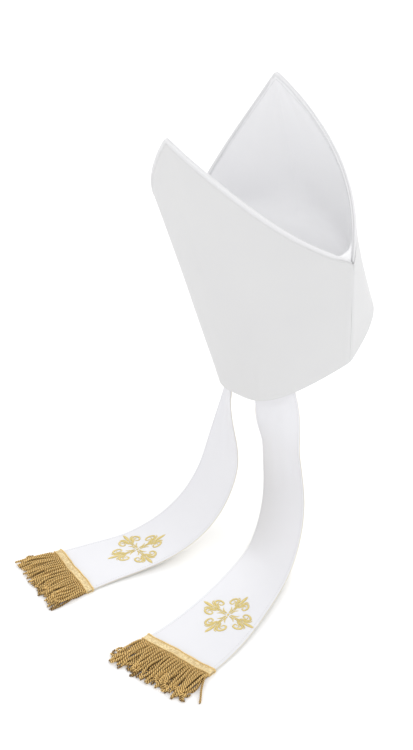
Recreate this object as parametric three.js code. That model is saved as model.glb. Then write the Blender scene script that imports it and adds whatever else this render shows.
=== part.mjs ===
// Bishop mitre: two stiffened horned panels joined at side seams, the gusset between the
// horns, a rolled edge along each horn, and two lappets with a cross, a braid and a fringe.
// Units are millimetres, +Z is up, the front faces -Y and the origin is the rim's centre.
import * as THREE from 'three';

// ---- crown -------------------------------------------------------------------------
const TILT_DEG = 17.2;            // the crown leans back as it is worn
const WALL = 2.6;                 // stiffened panel thickness
const SEAM_GAP = 0.3;             // between the two panels, and between touching pieces
const SEAM_HEIGHT = 156.2;        // side seam, rim to notch
const RIM_HALF_WIDTH = 76;
const CREST_HALF_WIDTH = 167.6;   // where the panel sides would be at the tip's height
const CREST_SHIFT = 41.2;         // the crest's middle lies behind the rim's middle
const TIP_ROUNDING = 0.012;
// depth and fullness of each panel's outline at the rim and at the crest
const BACK = { side: 1, rimDepth: 109, rimFull: 3.54, crestDepth: 75.6, crestFull: 1.62, height: 315.2 };
const FRONT = { side: -1, rimDepth: 115.4, rimFull: 2.36, crestDepth: 80.7, crestFull: 1.59, height: 315.4 };
// the horn's free edge, a Bezier arch from the notch (across 1, up 0) to the tip (across 0, up 1)
const ARCH = [
  { across: 1, up: 0 },
  { across: 0.891, up: 0.232 },
  { across: 0.431, up: 0.595 },
  { across: 0, up: 1 },
];
const ROLL_RADIUS = 2.1;
const ROLL_END = 0.9;             // the roll narrows to this radius at the notch
const ROLL_NARROWS = 0.9;         // from this share of the way out to the notch
const ROLL_REACH = 0.988;
// the steps across a piece are this much closer towards its middle, where the tip is
const PANEL_SPREAD = 1.1;
const ROLL_SPREAD = 1.2;

// ---- gusset ------------------------------------------------------------------------
const GUSSET_THICK = 1.2;
const GUSSET_REACH = 0.982;
const GUSSET_FLOOR = 147;         // height of the valley floor in the middle
const GUSSET_HALF_FLOOR = 58;     // half of the valley floor's width, front to back
const GUSSET_BEND_AT = 0.36;      // share of the way from the middle to a horn's edge where the floor ends
const GUSSET_BEND = 0.14;         // softness of the fold there, as a share of the same way
const GUSSET_TAPER = 2.2;         // how late the floor narrows towards the notches
const GUSSET_SLOT = 1.5;          // half of the floor's width at a notch
const GUSSET_NOTCH_DROP = 6;      // the floor's end lies this far below the notch
const GUSSET_BRIDGE = { from: 0.87, to: 0.965 };  // beyond this it spans edge to edge

// ---- lappets -----------------------------------------------------------------------
const TABLE_Z = -245;             // what the lappet ends lie on
const LAPPET_THICK = 1.6;
const LAPPET_END_WIDTH = 87;
const TUCK = 14;                  // how far a lappet reaches up inside the rim
const HUG = 8;                    // below the rim it still half follows the wall this far down
const RIM_CLEARANCE = 0.1;        // between a lappet's top and the wall, beyond the gap
// inner and outer borders at the rim as shares of the panel's half; length in mm, angles in degrees;
// straight, landed and turned are distances down; roll tilts the cloth most at the share rollAt,
// and skew turns its end out of square
const RIGHT = {
  side: -1, inner: 0.31, outer: 0.74, length: 412, hang: -102, heading: 3.5, bow: 18, splay: 2.1,
  straight: 113, landed: 274, turned: 80, roll: 0.18, rollAt: 0.48, belly: 4.3, skew: 7, crossAside: 2.8,
};
const LEFT = {
  side: 1, inner: 0.2, outer: 0.77, length: 344, hang: -85, heading: -4, bow: 18.7, splay: 10.9,
  straight: 51, landed: 331, turned: 116, roll: -0.07, rollAt: 0.83, belly: 3.3, skew: 0, crossAside: 0,
};
const RIBBON_STEP = 2;            // between the stations along a lappet
const SETTLE = 5;                 // softness with which cloth comes to lie on the table
const BRAID_FROM = 3;             // the braid starts this far beyond a lappet's own length
const BRAID_LONG = 9;
const BRAID_THICK = 4.2;
const BRAID_FOLD = 1.5;           // solid part of the braid, beyond the end of its channel
const BRAID_OVERHANG = 1.02;      // the braid's width against the lappet's
const CLOTH_IN_FOLD = 2;          // the cloth stops this far short of the braid's lower edge
const FRINGE_LONG = 48;
const FRINGE_RAGGED = 0.06;       // share of its length by which the fringe's end is uneven
const FRINGE_FLARE = 6;           // extra half width at the fringe tips
const FRINGE_SWELL = 3.2;         // how far the cords pile up over the braid's thickness
const SKEW_FROM = 0.7;            // share of a lappet's length from which its end turns askew
const CROSS_AT = 75.5;            // cross centre, back from the braid
const CROSS_SIZE = 1.05;          // scale of the arm below
const CROSS_LIFT = 0.9;           // embroidery thickness
// half of one arm of the cross: distance out from the centre and to the side
const ARM = [
  { out: 3.2, side: 3.2 },
  { out: 8, side: 2 },
  { out: 11.5, side: 5.2 },
  { out: 14, side: 2 },
  { out: 18.5, side: 2.2 },
  { out: 18.2, side: 7 },
  { out: 21.5, side: 11 },
  { out: 27, side: 11 },
  { out: 28.5, side: 7.5 },
  { out: 26, side: 4.6 },
  { out: 29, side: 3.4 },
  { out: 33.4, side: 0 },
];

const rad = THREE.MathUtils.degToRad;
const lerp = THREE.MathUtils.lerp;
const clamp01 = (x) => Math.min(1, Math.max(0, x));
const smooth = (x) => clamp01(x) ** 2 * (3 - 2 * clamp01(x));
// 0 below -w, x above w, and a parabola between
const ease = (x, w) => (x <= -w ? 0 : x >= w ? x : (x + w) ** 2 / (4 * w));

// Height of a horn's free edge above the rim plane at q, -1 to 1 across the panel.
function archHeight(panel, q) {
  const across = Math.min(1, Math.sqrt(q * q + TIP_ROUNDING ** 2));
  const bez = (t, key) => {
    const s = 1 - t;
    const [a, b, c, d] = ARCH.map((p) => p[key]);
    return s ** 3 * a + 3 * s * s * t * b + 3 * s * t * t * c + t ** 3 * d;
  };
  let low = 0;
  let high = 1;
  for (let i = 0; i < 40; i += 1) {
    const mid = (low + high) / 2;
    if (bez(mid, 'across') > across) low = mid;
    else high = mid;
  }
  return SEAM_HEIGHT + (panel.height - SEAM_HEIGHT) * bez((low + high) / 2, 'up');
}

// A point in the crown's own upright frame, inset from the panel's outer face.
function crownPoint(panel, q, z, inset) {
  const w = Math.abs(q);
  const rimAngle = Math.atan((panel.rimDepth * panel.rimFull) / RIM_HALF_WIDTH);
  const crestAngle = Math.atan((panel.crestDepth * panel.crestFull) / CREST_HALF_WIDTH);
  const rimX = (RIM_HALF_WIDTH - inset / Math.sin(rimAngle)) * q;
  const crestX = (CREST_HALF_WIDTH - inset / Math.sin(crestAngle)) * q;
  const rimY = (panel.rimDepth - inset) * (1 - w ** panel.rimFull);
  const crestY = (panel.crestDepth - inset) * (1 - w ** panel.crestFull);
  const t = z / panel.height;
  const y = lerp(0, CREST_SHIFT, t) + panel.side * (lerp(rimY, crestY, t) + SEAM_GAP / 2);
  return new THREE.Vector3(lerp(rimX, crestX, t), y, z);
}

// The crown's own frame leans back into the row frame.
function lean(p) {
  const c = Math.cos(rad(TILT_DEG));
  const s = Math.sin(rad(TILT_DEG));
  return new THREE.Vector3(p.x, p.y * c + p.z * s, -p.y * s + p.z * c);
}

// Height on the panel at a distance down from the free edge, measured square to that edge.
function edgeHeight(panel, q, down) {
  const dq = 0.004;
  const z = archHeight(panel, q);
  const rise = (archHeight(panel, q + dq) - archHeight(panel, q - dq)) / (2 * dq);
  const a = crownPoint(panel, q + dq, z, 0);
  const b = crownPoint(panel, q - dq, z, 0);
  const run = Math.hypot(a.x - b.x, a.y - b.y) / (2 * dq);
  return z - down * Math.hypot(1, rise / run);
}

// Closed solid from a grid of points on each of its two faces.
function gridSolid(faceA, faceB, rows, cols) {
  const pos = [];
  const index = [];
  const put = (face) => {
    for (let i = 0; i <= rows; i += 1) {
      for (let j = 0; j <= cols; j += 1) {
        const p = face(i / rows, j / cols);
        pos.push(p.x, p.y, p.z);
      }
    }
  };
  put(faceA);
  put(faceB);
  const n = (rows + 1) * (cols + 1);
  const at = (k, i, j) => k * n + i * (cols + 1) + j;
  const quad = (a, b, c, d) => index.push(a, b, c, a, c, d);
  for (let i = 0; i < rows; i += 1) {
    for (let j = 0; j < cols; j += 1) {
      quad(at(0, i, j), at(0, i, j + 1), at(0, i + 1, j + 1), at(0, i + 1, j));
      quad(at(1, i, j), at(1, i + 1, j), at(1, i + 1, j + 1), at(1, i, j + 1));
    }
  }
  for (let j = 0; j < cols; j += 1) {
    quad(at(0, 0, j), at(1, 0, j), at(1, 0, j + 1), at(0, 0, j + 1));
    quad(at(0, rows, j + 1), at(1, rows, j + 1), at(1, rows, j), at(0, rows, j));
  }
  for (let i = 0; i < rows; i += 1) {
    quad(at(0, i + 1, 0), at(1, i + 1, 0), at(1, i, 0), at(0, i, 0));
    quad(at(0, i, cols), at(1, i, cols), at(1, i + 1, cols), at(0, i + 1, cols));
  }
  return outward(pos, index);
}

// Closed solid from a ring of points moved through stations and capped at both ends.
function ringSolid(ringAt, stations, cap) {
  const pos = [];
  const index = [];
  const size = cap.length;
  for (let i = 0; i <= stations; i += 1) {
    for (const p of ringAt(i / stations)) pos.push(p.x, p.y, p.z);
  }
  for (let i = 0; i < stations; i += 1) {
    for (let j = 0; j < size; j += 1) {
      const a = i * size + j;
      const b = i * size + ((j + 1) % size);
      index.push(a, b, b + size, a, b + size, a + size);
    }
  }
  const last = stations * size;
  for (const [a, b, c] of THREE.ShapeUtils.triangulateShape(cap, [])) {
    index.push(c, b, a);
    index.push(last + a, last + b, last + c);
  }
  return outward(pos, index);
}

// Geometry with its faces turned outward.
function outward(pos, index) {
  const v = (i) => new THREE.Vector3(pos[3 * i], pos[3 * i + 1], pos[3 * i + 2]);
  let volume = 0;
  for (let i = 0; i < index.length; i += 3) {
    volume += v(index[i]).dot(v(index[i + 1]).cross(v(index[i + 2])));
  }
  if (volume < 0) index.reverse();
  const geometry = new THREE.BufferGeometry();
  geometry.setAttribute('position', new THREE.Float32BufferAttribute(pos, 3));
  geometry.setIndex(index);
  geometry.computeVertexNormals();
  return geometry;
}

// ---- crown pieces ------------------------------------------------------------------
const spread = (u, power) => Math.sign(u) * Math.abs(u) ** power;

// The roll's radius at q: full along the horn, narrowing into the notch.
function rollRadius(q) {
  return lerp(ROLL_RADIUS, ROLL_END, smooth((Math.abs(q) - ROLL_NARROWS) / (1 - ROLL_NARROWS)));
}

// Height of the cut edge of the panel and the gusset, just below the roll.
function cutHeight(panel, q) {
  return edgeHeight(panel, q, 2 * rollRadius(q) + SEAM_GAP);
}

function panelSolid(panel) {
  const face = (inset) => (i, j) => {
    const q = spread(2 * j - 1, PANEL_SPREAD);
    const top = cutHeight(panel, q);
    return lean(crownPoint(panel, q, top * i, inset));
  };
  return gridSolid(face(0), face(WALL), 7, 36);
}

// The rolled edge that caps the panel and the gusset together.
function rollSolid(panel) {
  const middle = (WALL + SEAM_GAP + GUSSET_THICK) / 2;
  const axis = (q) => crownPoint(panel, q, edgeHeight(panel, q, rollRadius(q)), middle);
  const octagon = [];
  for (let k = 0; k < 8; k += 1) {
    const a = ((k + 0.5) * Math.PI) / 4;
    octagon.push(new THREE.Vector2(Math.cos(a), Math.sin(a)));
  }
  const ringAt = (t) => {
    const q = ROLL_REACH * spread(2 * t - 1, ROLL_SPREAD);
    const r = rollRadius(q);
    const p = axis(q);
    const along = axis(q + 0.006).sub(axis(q - 0.006)).normalize();
    const deep = crownPoint(panel, q, p.z, middle + 1).sub(crownPoint(panel, q, p.z, middle - 1));
    const across = deep.addScaledVector(along, -deep.dot(along)).normalize();
    const up = new THREE.Vector3().crossVectors(along, across);
    return octagon.map((o) => (
      lean(p.clone().addScaledVector(across, r * o.x).addScaledVector(up, r * o.y))));
  };
  return ringSolid(ringAt, 52, octagon);
}

// The gusset hangs from both free edges as a soft-bottomed valley from notch to notch.
function gussetPoint(u, v) {
  const q = u * GUSSET_REACH;
  const panel = v < 0 ? FRONT : BACK;
  const inset = WALL + SEAM_GAP + GUSSET_THICK / 2;
  const rim = (p) => crownPoint(p, q, cutHeight(p, q), inset);
  const edge = rim(panel);
  const a = Math.abs(v);
  const soft = (x) => ease(x, GUSSET_BEND);
  const climb = clamp01(soft(a - GUSSET_BEND_AT) / (1 - GUSSET_BEND_AT));
  const flat = a - climb * (1 - GUSSET_BEND_AT);
  const w = Math.abs(q);
  const notch = crownPoint(panel, q, SEAM_HEIGHT, inset);
  const middleY = (CREST_SHIFT * SEAM_HEIGHT) / panel.height;
  const halfFloor = GUSSET_HALF_FLOOR * (1 - w ** GUSSET_TAPER) + GUSSET_SLOT;
  const floorZ = lerp(GUSSET_FLOOR, SEAM_HEIGHT - GUSSET_NOTCH_DROP, w ** 3);
  const y = middleY + panel.side * halfFloor * Math.min(1, flat / GUSSET_BEND_AT);
  const valley = new THREE.Vector3(
    lerp(notch.x, edge.x, climb),
    lerp(y, edge.y, climb),
    lerp(floorZ, edge.z, climb),
  );
  const chord = rim(FRONT).lerp(rim(BACK), (v + 1) / 2);
  const bridge = smooth((Math.abs(u) - GUSSET_BRIDGE.from) / (GUSSET_BRIDGE.to - GUSSET_BRIDGE.from));
  return valley.lerp(chord, bridge);
}

function gussetSolid() {
  const face = (sign) => (i, j) => {
    const u = 2 * j - 1;
    const v = 2 * i - 1;
    const d = 0.002;
    const p = gussetPoint(u, v);
    const du = gussetPoint(Math.min(1, u + d), v).sub(gussetPoint(Math.max(-1, u - d), v));
    const dv = gussetPoint(u, Math.min(1, v + d)).sub(gussetPoint(u, Math.max(-1, v - d)));
    const normal = du.cross(dv).normalize();
    return lean(p.addScaledVector(normal, (sign * GUSSET_THICK) / 2));
  };
  return gridSolid(face(1), face(-1), 26, 34);
}

// ---- lappet pieces -----------------------------------------------------------------
// Where a lappet's top follows the inside of the back panel; across is -1 to 1, inner to outer.
function hangPoint(lappet, across, down) {
  const q = lappet.side * lerp(lappet.inner, lappet.outer, (across + 1) / 2);
  const inset = WALL + SEAM_GAP + LAPPET_THICK / 2 + RIM_CLEARANCE;
  return lean(crownPoint(BACK, q, -down, inset));
}

// Height of a lappet's middle layer where its braid lies on the table.
const LYING_Z = TABLE_Z + BRAID_THICK / 2;

// Stations along the free ribbon: centre, direction across it and half width.
function ribbonStations(lappet) {
  const step = RIBBON_STEP;
  const total = 1.05 * (lappet.length + BRAID_FROM + BRAID_LONG + FRINGE_LONG);
  const inner = hangPoint(lappet, -1, 0);
  const outer = hangPoint(lappet, 1, 0);
  const topWidth = inner.distanceTo(outer);
  const topAcross = outer.clone().sub(inner).normalize();
  const side = lappet.side;
  const centre = inner.clone().lerp(outer, 0.5);
  const list = [];
  for (let s = 0; s <= total; s += step) {
    const t = clamp01(s / lappet.length);
    const land = smooth((s - lappet.straight) / (lappet.landed - lappet.straight));
    const dip = rad(lappet.hang * (1 - land));
    const heading = rad(lerp(lappet.heading, lappet.splay, t) + 4 * lappet.bow * t * (1 - t));
    const along = new THREE.Vector3(
      side * Math.cos(dip) * Math.sin(heading),
      Math.cos(dip) * Math.cos(heading),
      Math.sin(dip),
    );
    const splay = rad(lappet.splay + lappet.skew * smooth((t - SKEW_FROM) / (1 - SKEW_FROM)));
    const endAcross = new THREE.Vector3(side * Math.cos(splay), -Math.sin(splay), 0);
    const across = topAcross.clone().lerp(endAcross, smooth(s / lappet.turned));
    across.z += lappet.roll * Math.sin(Math.PI * t ** (Math.log(0.5) / Math.log(lappet.rollAt)));
    across.normalize();
    const half = lerp(topWidth, LAPPET_END_WIDTH, t) / 2 + 2 * lappet.belly * t * (1 - t);
    list.push({ centre: centre.clone(), across, half });
    centre.addScaledVector(along, step);
  }
  const drop = LYING_Z - list[Math.round(lappet.length / step)].centre.z;
  const fallen = list[0].centre.z - list[Math.round(lappet.length / step)].centre.z;
  const top = list[0].centre.z;
  for (const station of list) {
    station.centre.z += (drop * (top - station.centre.z)) / fallen;
  }
  return { step, list };
}

// A point on the ribbon's middle layer: s down from the rim, across -1 to 1.
function ribbonPoint(lappet, ribbon, s, across) {
  const x = Math.max(0, s) / ribbon.step;
  const i = Math.min(ribbon.list.length - 2, Math.floor(x));
  const f = x - i;
  const a = ribbon.list[i];
  const b = ribbon.list[i + 1];
  const free = a.centre.clone().lerp(b.centre, f);
  const dir = a.across.clone().lerp(b.across, f).normalize();
  free.addScaledVector(dir, across * lerp(a.half, b.half, f));
  free.z = LYING_Z + ease(free.z - LYING_Z, SETTLE) - ease(0, SETTLE);
  const held = 1 - smooth(s / (2 * HUG));
  if (held <= 0) return free;
  return free.lerp(hangPoint(lappet, across, s), held);
}

// The ribbon's upper-face normal, which points away from the head and then up.
function ribbonNormal(lappet, ribbon, s, across) {
  const d = 1.5;
  const e = 0.02;
  const ds = ribbonPoint(lappet, ribbon, s + d, across).sub(ribbonPoint(lappet, ribbon, s - d, across));
  const dx = ribbonPoint(lappet, ribbon, s, across + e).sub(ribbonPoint(lappet, ribbon, s, across - e));
  return dx.cross(ds).multiplyScalar(lappet.side).normalize();
}

function onRibbon(lappet, ribbon, s, across, lift) {
  const p = ribbonPoint(lappet, ribbon, s, across);
  return p.addScaledVector(ribbonNormal(lappet, ribbon, s, across), lift);
}

function lappetSolid(lappet, ribbon) {
  const end = lappet.length + BRAID_FROM + BRAID_LONG - CLOTH_IN_FOLD;
  const face = (lift) => (i, j) => onRibbon(lappet, ribbon, lerp(-TUCK, end, i), 2 * j - 1, lift);
  return gridSolid(face(LAPPET_THICK / 2), face(-LAPPET_THICK / 2), 46, 5);
}

// The braid folds over the ribbon's end as a channel.
function braidSolid(lappet, ribbon) {
  const clear = LAPPET_THICK / 2 + SEAM_GAP;
  const half = BRAID_THICK / 2;
  const closedFrom = BRAID_LONG - BRAID_FOLD;
  const channel = [
    new THREE.Vector2(closedFrom, clear),
    new THREE.Vector2(closedFrom, -clear),
    new THREE.Vector2(0, -clear),
    new THREE.Vector2(0, -half),
    new THREE.Vector2(BRAID_LONG, -half),
    new THREE.Vector2(BRAID_LONG, half),
    new THREE.Vector2(0, half),
    new THREE.Vector2(0, clear),
  ];
  const ringAt = (t) => channel.map((c) => (
    onRibbon(lappet, ribbon, lappet.length + BRAID_FROM + c.x, BRAID_OVERHANG * (2 * t - 1), c.y)));
  return ringSolid(ringAt, 5, channel);
}

// The fringe's outer form: it fans out from the braid, thickens and ends unevenly.
function fringeSolid(lappet, ribbon) {
  const start = lappet.length + BRAID_FROM + BRAID_LONG + SEAM_GAP;
  const half = ribbon.list[Math.round(lappet.length / ribbon.step)].half;
  const face = (top) => (i, j) => {
    const x = 2 * j - 1;
    const long = FRINGE_LONG * (1 - FRINGE_RAGGED + FRINGE_RAGGED * Math.sin(9 * x + 0.7) * Math.cos(4 * x));
    const across = x * (1 + (FRINGE_FLARE / half) * i);
    const pile = FRINGE_SWELL * Math.sin(Math.PI * (0.1 + 0.75 * i)) * (1 - 0.25 * x * x);
    const thinned = 1 - 0.45 * i * i;
    const p = onRibbon(lappet, ribbon, start + long * i, across, 0);
    p.z += top ? (BRAID_THICK / 2 + pile) * thinned : -BRAID_THICK / 2;
    return p;
  };
  return gridSolid(face(true), face(false), 6, 12);
}

// The embroidered cross lies on the ribbon and bends with it.
function crossSolid(lappet, ribbon) {
  const outline = [];
  for (let arm = 0; arm < 4; arm += 1) {
    const turn = (arm * Math.PI) / 2;
    const put = (out, side) => outline.push(new THREE.Vector2(
      CROSS_SIZE * (out * Math.cos(turn) - side * Math.sin(turn)),
      CROSS_SIZE * (out * Math.sin(turn) + side * Math.cos(turn)),
    ));
    for (const p of ARM) put(p.out, -p.side);
    for (const p of ARM.slice(1, -1).reverse()) put(p.out, p.side);
  }
  const shape = new THREE.Shape(outline);
  const flat = new THREE.ExtrudeGeometry(shape, { depth: CROSS_LIFT, bevelEnabled: false });
  const half = ribbon.list[Math.round((lappet.length - CROSS_AT) / ribbon.step)].half;
  const source = flat.getAttribute('position');
  const keys = new Map();
  const pos = [];
  const index = [];
  for (let i = 0; i < source.count; i += 1) {
    const x = source.getX(i);
    const y = source.getY(i);
    const z = source.getZ(i);
    const key = `${x.toFixed(4)},${y.toFixed(4)},${z.toFixed(4)}`;
    if (!keys.has(key)) {
      keys.set(key, keys.size);
      const lift = LAPPET_THICK / 2 + SEAM_GAP + z;
      const across = (y + lappet.crossAside - x * Math.tan(rad(lappet.skew))) / half;
      const p = onRibbon(lappet, ribbon, lappet.length - CROSS_AT + x, across, lift);
      pos.push(p.x, p.y, p.z);
    }
    index.push(keys.get(key));
  }
  return outward(pos, index);
}

// ---- assembly ----------------------------------------------------------------------
const COLOURS = { cloth: 0xf0f0f2, lining: 0xe6e6ea, gold: 0xc9a45c, thread: 0xd9bd6e, strand: 0xb08a4c };

function piece(name, geometry, colour, roughness) {
  const material = new THREE.MeshStandardMaterial({ color: colour, roughness });
  material.name = `${name}_material`;
  const mesh = new THREE.Mesh(geometry, material);
  mesh.name = name;
  return mesh;
}

const mitre = new THREE.Group();
mitre.name = 'bishop_mitre';
mitre.add(piece('back_panel', panelSolid(BACK), COLOURS.cloth, 0.85));
mitre.add(piece('front_panel', panelSolid(FRONT), COLOURS.cloth, 0.85));
mitre.add(piece('back_edge_roll', rollSolid(BACK), COLOURS.cloth, 0.85));
mitre.add(piece('front_edge_roll', rollSolid(FRONT), COLOURS.cloth, 0.85));
mitre.add(piece('gusset', gussetSolid(), COLOURS.lining, 0.85));
for (const [word, lappet] of [['right', RIGHT], ['left', LEFT]]) {
  const ribbon = ribbonStations(lappet);
  mitre.add(piece(`${word}_lappet`, lappetSolid(lappet, ribbon), COLOURS.cloth, 0.85));
  mitre.add(piece(`${word}_cross`, crossSolid(lappet, ribbon), COLOURS.thread, 0.6));
  mitre.add(piece(`${word}_braid`, braidSolid(lappet, ribbon), COLOURS.gold, 0.6));
  mitre.add(piece(`${word}_fringe`, fringeSolid(lappet, ribbon), COLOURS.strand, 0.6));
}

export default mitre;
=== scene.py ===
"""Looks of the bishop mitre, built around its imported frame.

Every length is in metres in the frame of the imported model: +Z is up, the front faces -Y,
+X is the wearer's left and the origin is the middle of the rim.
"""

import sys

import logging
import math
from dataclasses import dataclass
from enum import Enum

import bpy
import numpy as np
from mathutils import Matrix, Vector


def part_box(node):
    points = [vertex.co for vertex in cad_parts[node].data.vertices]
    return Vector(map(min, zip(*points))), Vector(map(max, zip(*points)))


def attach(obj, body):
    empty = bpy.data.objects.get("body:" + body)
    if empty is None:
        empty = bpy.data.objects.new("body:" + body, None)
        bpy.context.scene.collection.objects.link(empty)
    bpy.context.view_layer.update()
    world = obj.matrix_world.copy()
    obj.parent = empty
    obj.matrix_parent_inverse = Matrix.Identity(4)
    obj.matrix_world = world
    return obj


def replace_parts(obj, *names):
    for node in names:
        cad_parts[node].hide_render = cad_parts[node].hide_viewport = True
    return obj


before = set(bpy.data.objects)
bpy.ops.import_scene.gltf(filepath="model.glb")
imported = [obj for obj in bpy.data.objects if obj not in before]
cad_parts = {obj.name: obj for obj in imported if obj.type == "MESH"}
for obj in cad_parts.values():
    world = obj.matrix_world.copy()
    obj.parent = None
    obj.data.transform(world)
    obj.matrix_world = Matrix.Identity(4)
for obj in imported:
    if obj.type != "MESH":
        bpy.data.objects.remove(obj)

LOG = logging.getLogger("bishop_mitre")
Array = np.ndarray
Socket = bpy.types.NodeSocket
Node = bpy.types.Node
MM = 0.001
TURN = 2 * math.pi
UV_MAP = "cloth_uv"
# The per-point attribute that darkens cords deep in the fringe's pile, as painted shade.
PILE_SHADE_ATTRIBUTE = "tone"


class Slot(Enum):
    """The record's material slots."""

    PANEL = "panel_cloth"
    EDGE = "edge_cloth"
    GUSSET = "gusset_cloth"
    LAPPET = "lappet_cloth"
    CROSS = "cross_thread"
    BRAID = "braid_gold"
    FRINGE = "fringe_gold"


# ---- small mathematics ---------------------------------------------------------------


def lerp(a: Array, b: Array, t: Array) -> Array:
    """Return the value a share t of the way from a to b."""
    return a + (b - a) * t


def smooth(x: Array) -> Array:
    """Return 0 below 0, 1 above 1 and 3x^2 - 2x^3 between."""
    held = np.clip(x, 0, 1)
    return held * held * (3 - 2 * held)


def ease(x: Array, width: float) -> Array:
    """Return 0 below -width, x above width, and (x + width)^2 / (4 width) between."""
    held = np.clip(x, -width, width)
    return (held + width) ** 2 / (4 * width) + np.maximum(x - width, 0)


def hump(x: Array, middle: float, width: float) -> Array:
    """Return a bell of height 1 round middle: exp(-((x - middle) / width)^2)."""
    return np.exp(-(((x - middle) / width) ** 2))


def groove(x: Array, shape: tuple[float, float, float]) -> Array:
    """Return a hump of a given depth, place and half width, in that order."""
    return shape[0] * hump(x, *shape[1:])


def spread(x: Array, power: float) -> Array:
    """Return x with its size raised to a power, which crowds an even row from -1 to 1."""
    return np.sign(x) * np.abs(x) ** power


def raised(wave: Array) -> Array:
    """Return a wave that swings from -1 to 1 as one that swings from 0 to 1."""
    return 0.5 + 0.5 * wave


def rings_round(middle: Array, a: Array, b: Array, radius: Array, angle: Array) -> Array:
    """Return rings round rows of points: middle + radius (a cos(angle) + b sin(angle))."""
    return middle[:, :, None] + radius * (a[:, :, None] * np.cos(angle) + b[:, :, None] * np.sin(angle))


def unit(v: Array) -> Array:
    """Return vectors scaled to length 1 along the last axis."""
    return v / np.linalg.norm(v, axis=-1, keepdims=True)


def run_length(points: Array, axis: int) -> Array:
    """Measure the distance run along one axis of an array of points.

    Args:
        points: Array of points with the coordinates last.
        axis: The axis to run along.

    Returns:
        The running distance, 0 at the first point, one value for each point.
    """
    steps = np.linalg.norm(np.diff(points, axis=axis), axis=-1)
    start = np.zeros_like(np.take(steps, [0], axis=axis))
    return np.concatenate([start, np.cumsum(steps, axis=axis)], axis=axis)


def through(points: Array, count: int) -> Array:
    """Draw an even smooth curve through a few points.

    Each span is the Catmull-Rom cubic of its two ends and their neighbours, and the result is
    spaced evenly along the curve.

    Args:
        points: The points, at least two, one row each.
        count: How many points the curve gets.

    Returns:
        The curve's points.
    """
    ends = np.concatenate([[2 * points[0] - points[1]], points, [2 * points[-1] - points[-2]]])
    x = np.linspace(0, len(points) - 1, 12 * len(points))
    dense = cubic_at(ends, x + 1)
    run = run_length(dense, 0)
    even = np.linspace(0, run[-1], count)
    return np.stack([np.interp(even, run, dense[:, k]) for k in range(dense.shape[1])], -1)


def cubic_at(values: Array, x: Array) -> Array:
    """Read rows of an array between whole numbers.

    With f the fraction past row i and a, b, c, d the rows i-1 to i+2, the value is
    ((2b) + (c-a)f + (2a-5b+4c-d)f^2 + (3b-a-3c+d)f^3) / 2.

    Args:
        values: One row for each whole number.
        x: Where to read, any shape.

    Returns:
        The values, shaped like x with a row's own shape added.
    """
    i = np.clip(np.floor(x).astype(int), 1, len(values) - 3)
    f = (x - i).reshape(x.shape + (1,) * (values.ndim - 1))
    a, b, c, d = values[i - 1], values[i], values[i + 1], values[i + 2]
    return (2 * b + (c - a) * f + (2 * a - 5 * b + 4 * c - d) * f**2 + (3 * b - a - 3 * c + d) * f**3) / 2


def linear(red: float, green: float, blue: float) -> tuple[float, float, float, float]:
    """Turn screen colour values from 0 to 255 into a shader's linear colour."""
    share = np.array([red, green, blue]) / 255
    low = share / 12.92
    high = ((share + 0.055) / 1.055) ** 2.4
    return (*(float(v) for v in np.where(share <= 0.04045, low, high)), 1.0)


# ---- meshes --------------------------------------------------------------------------


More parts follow.
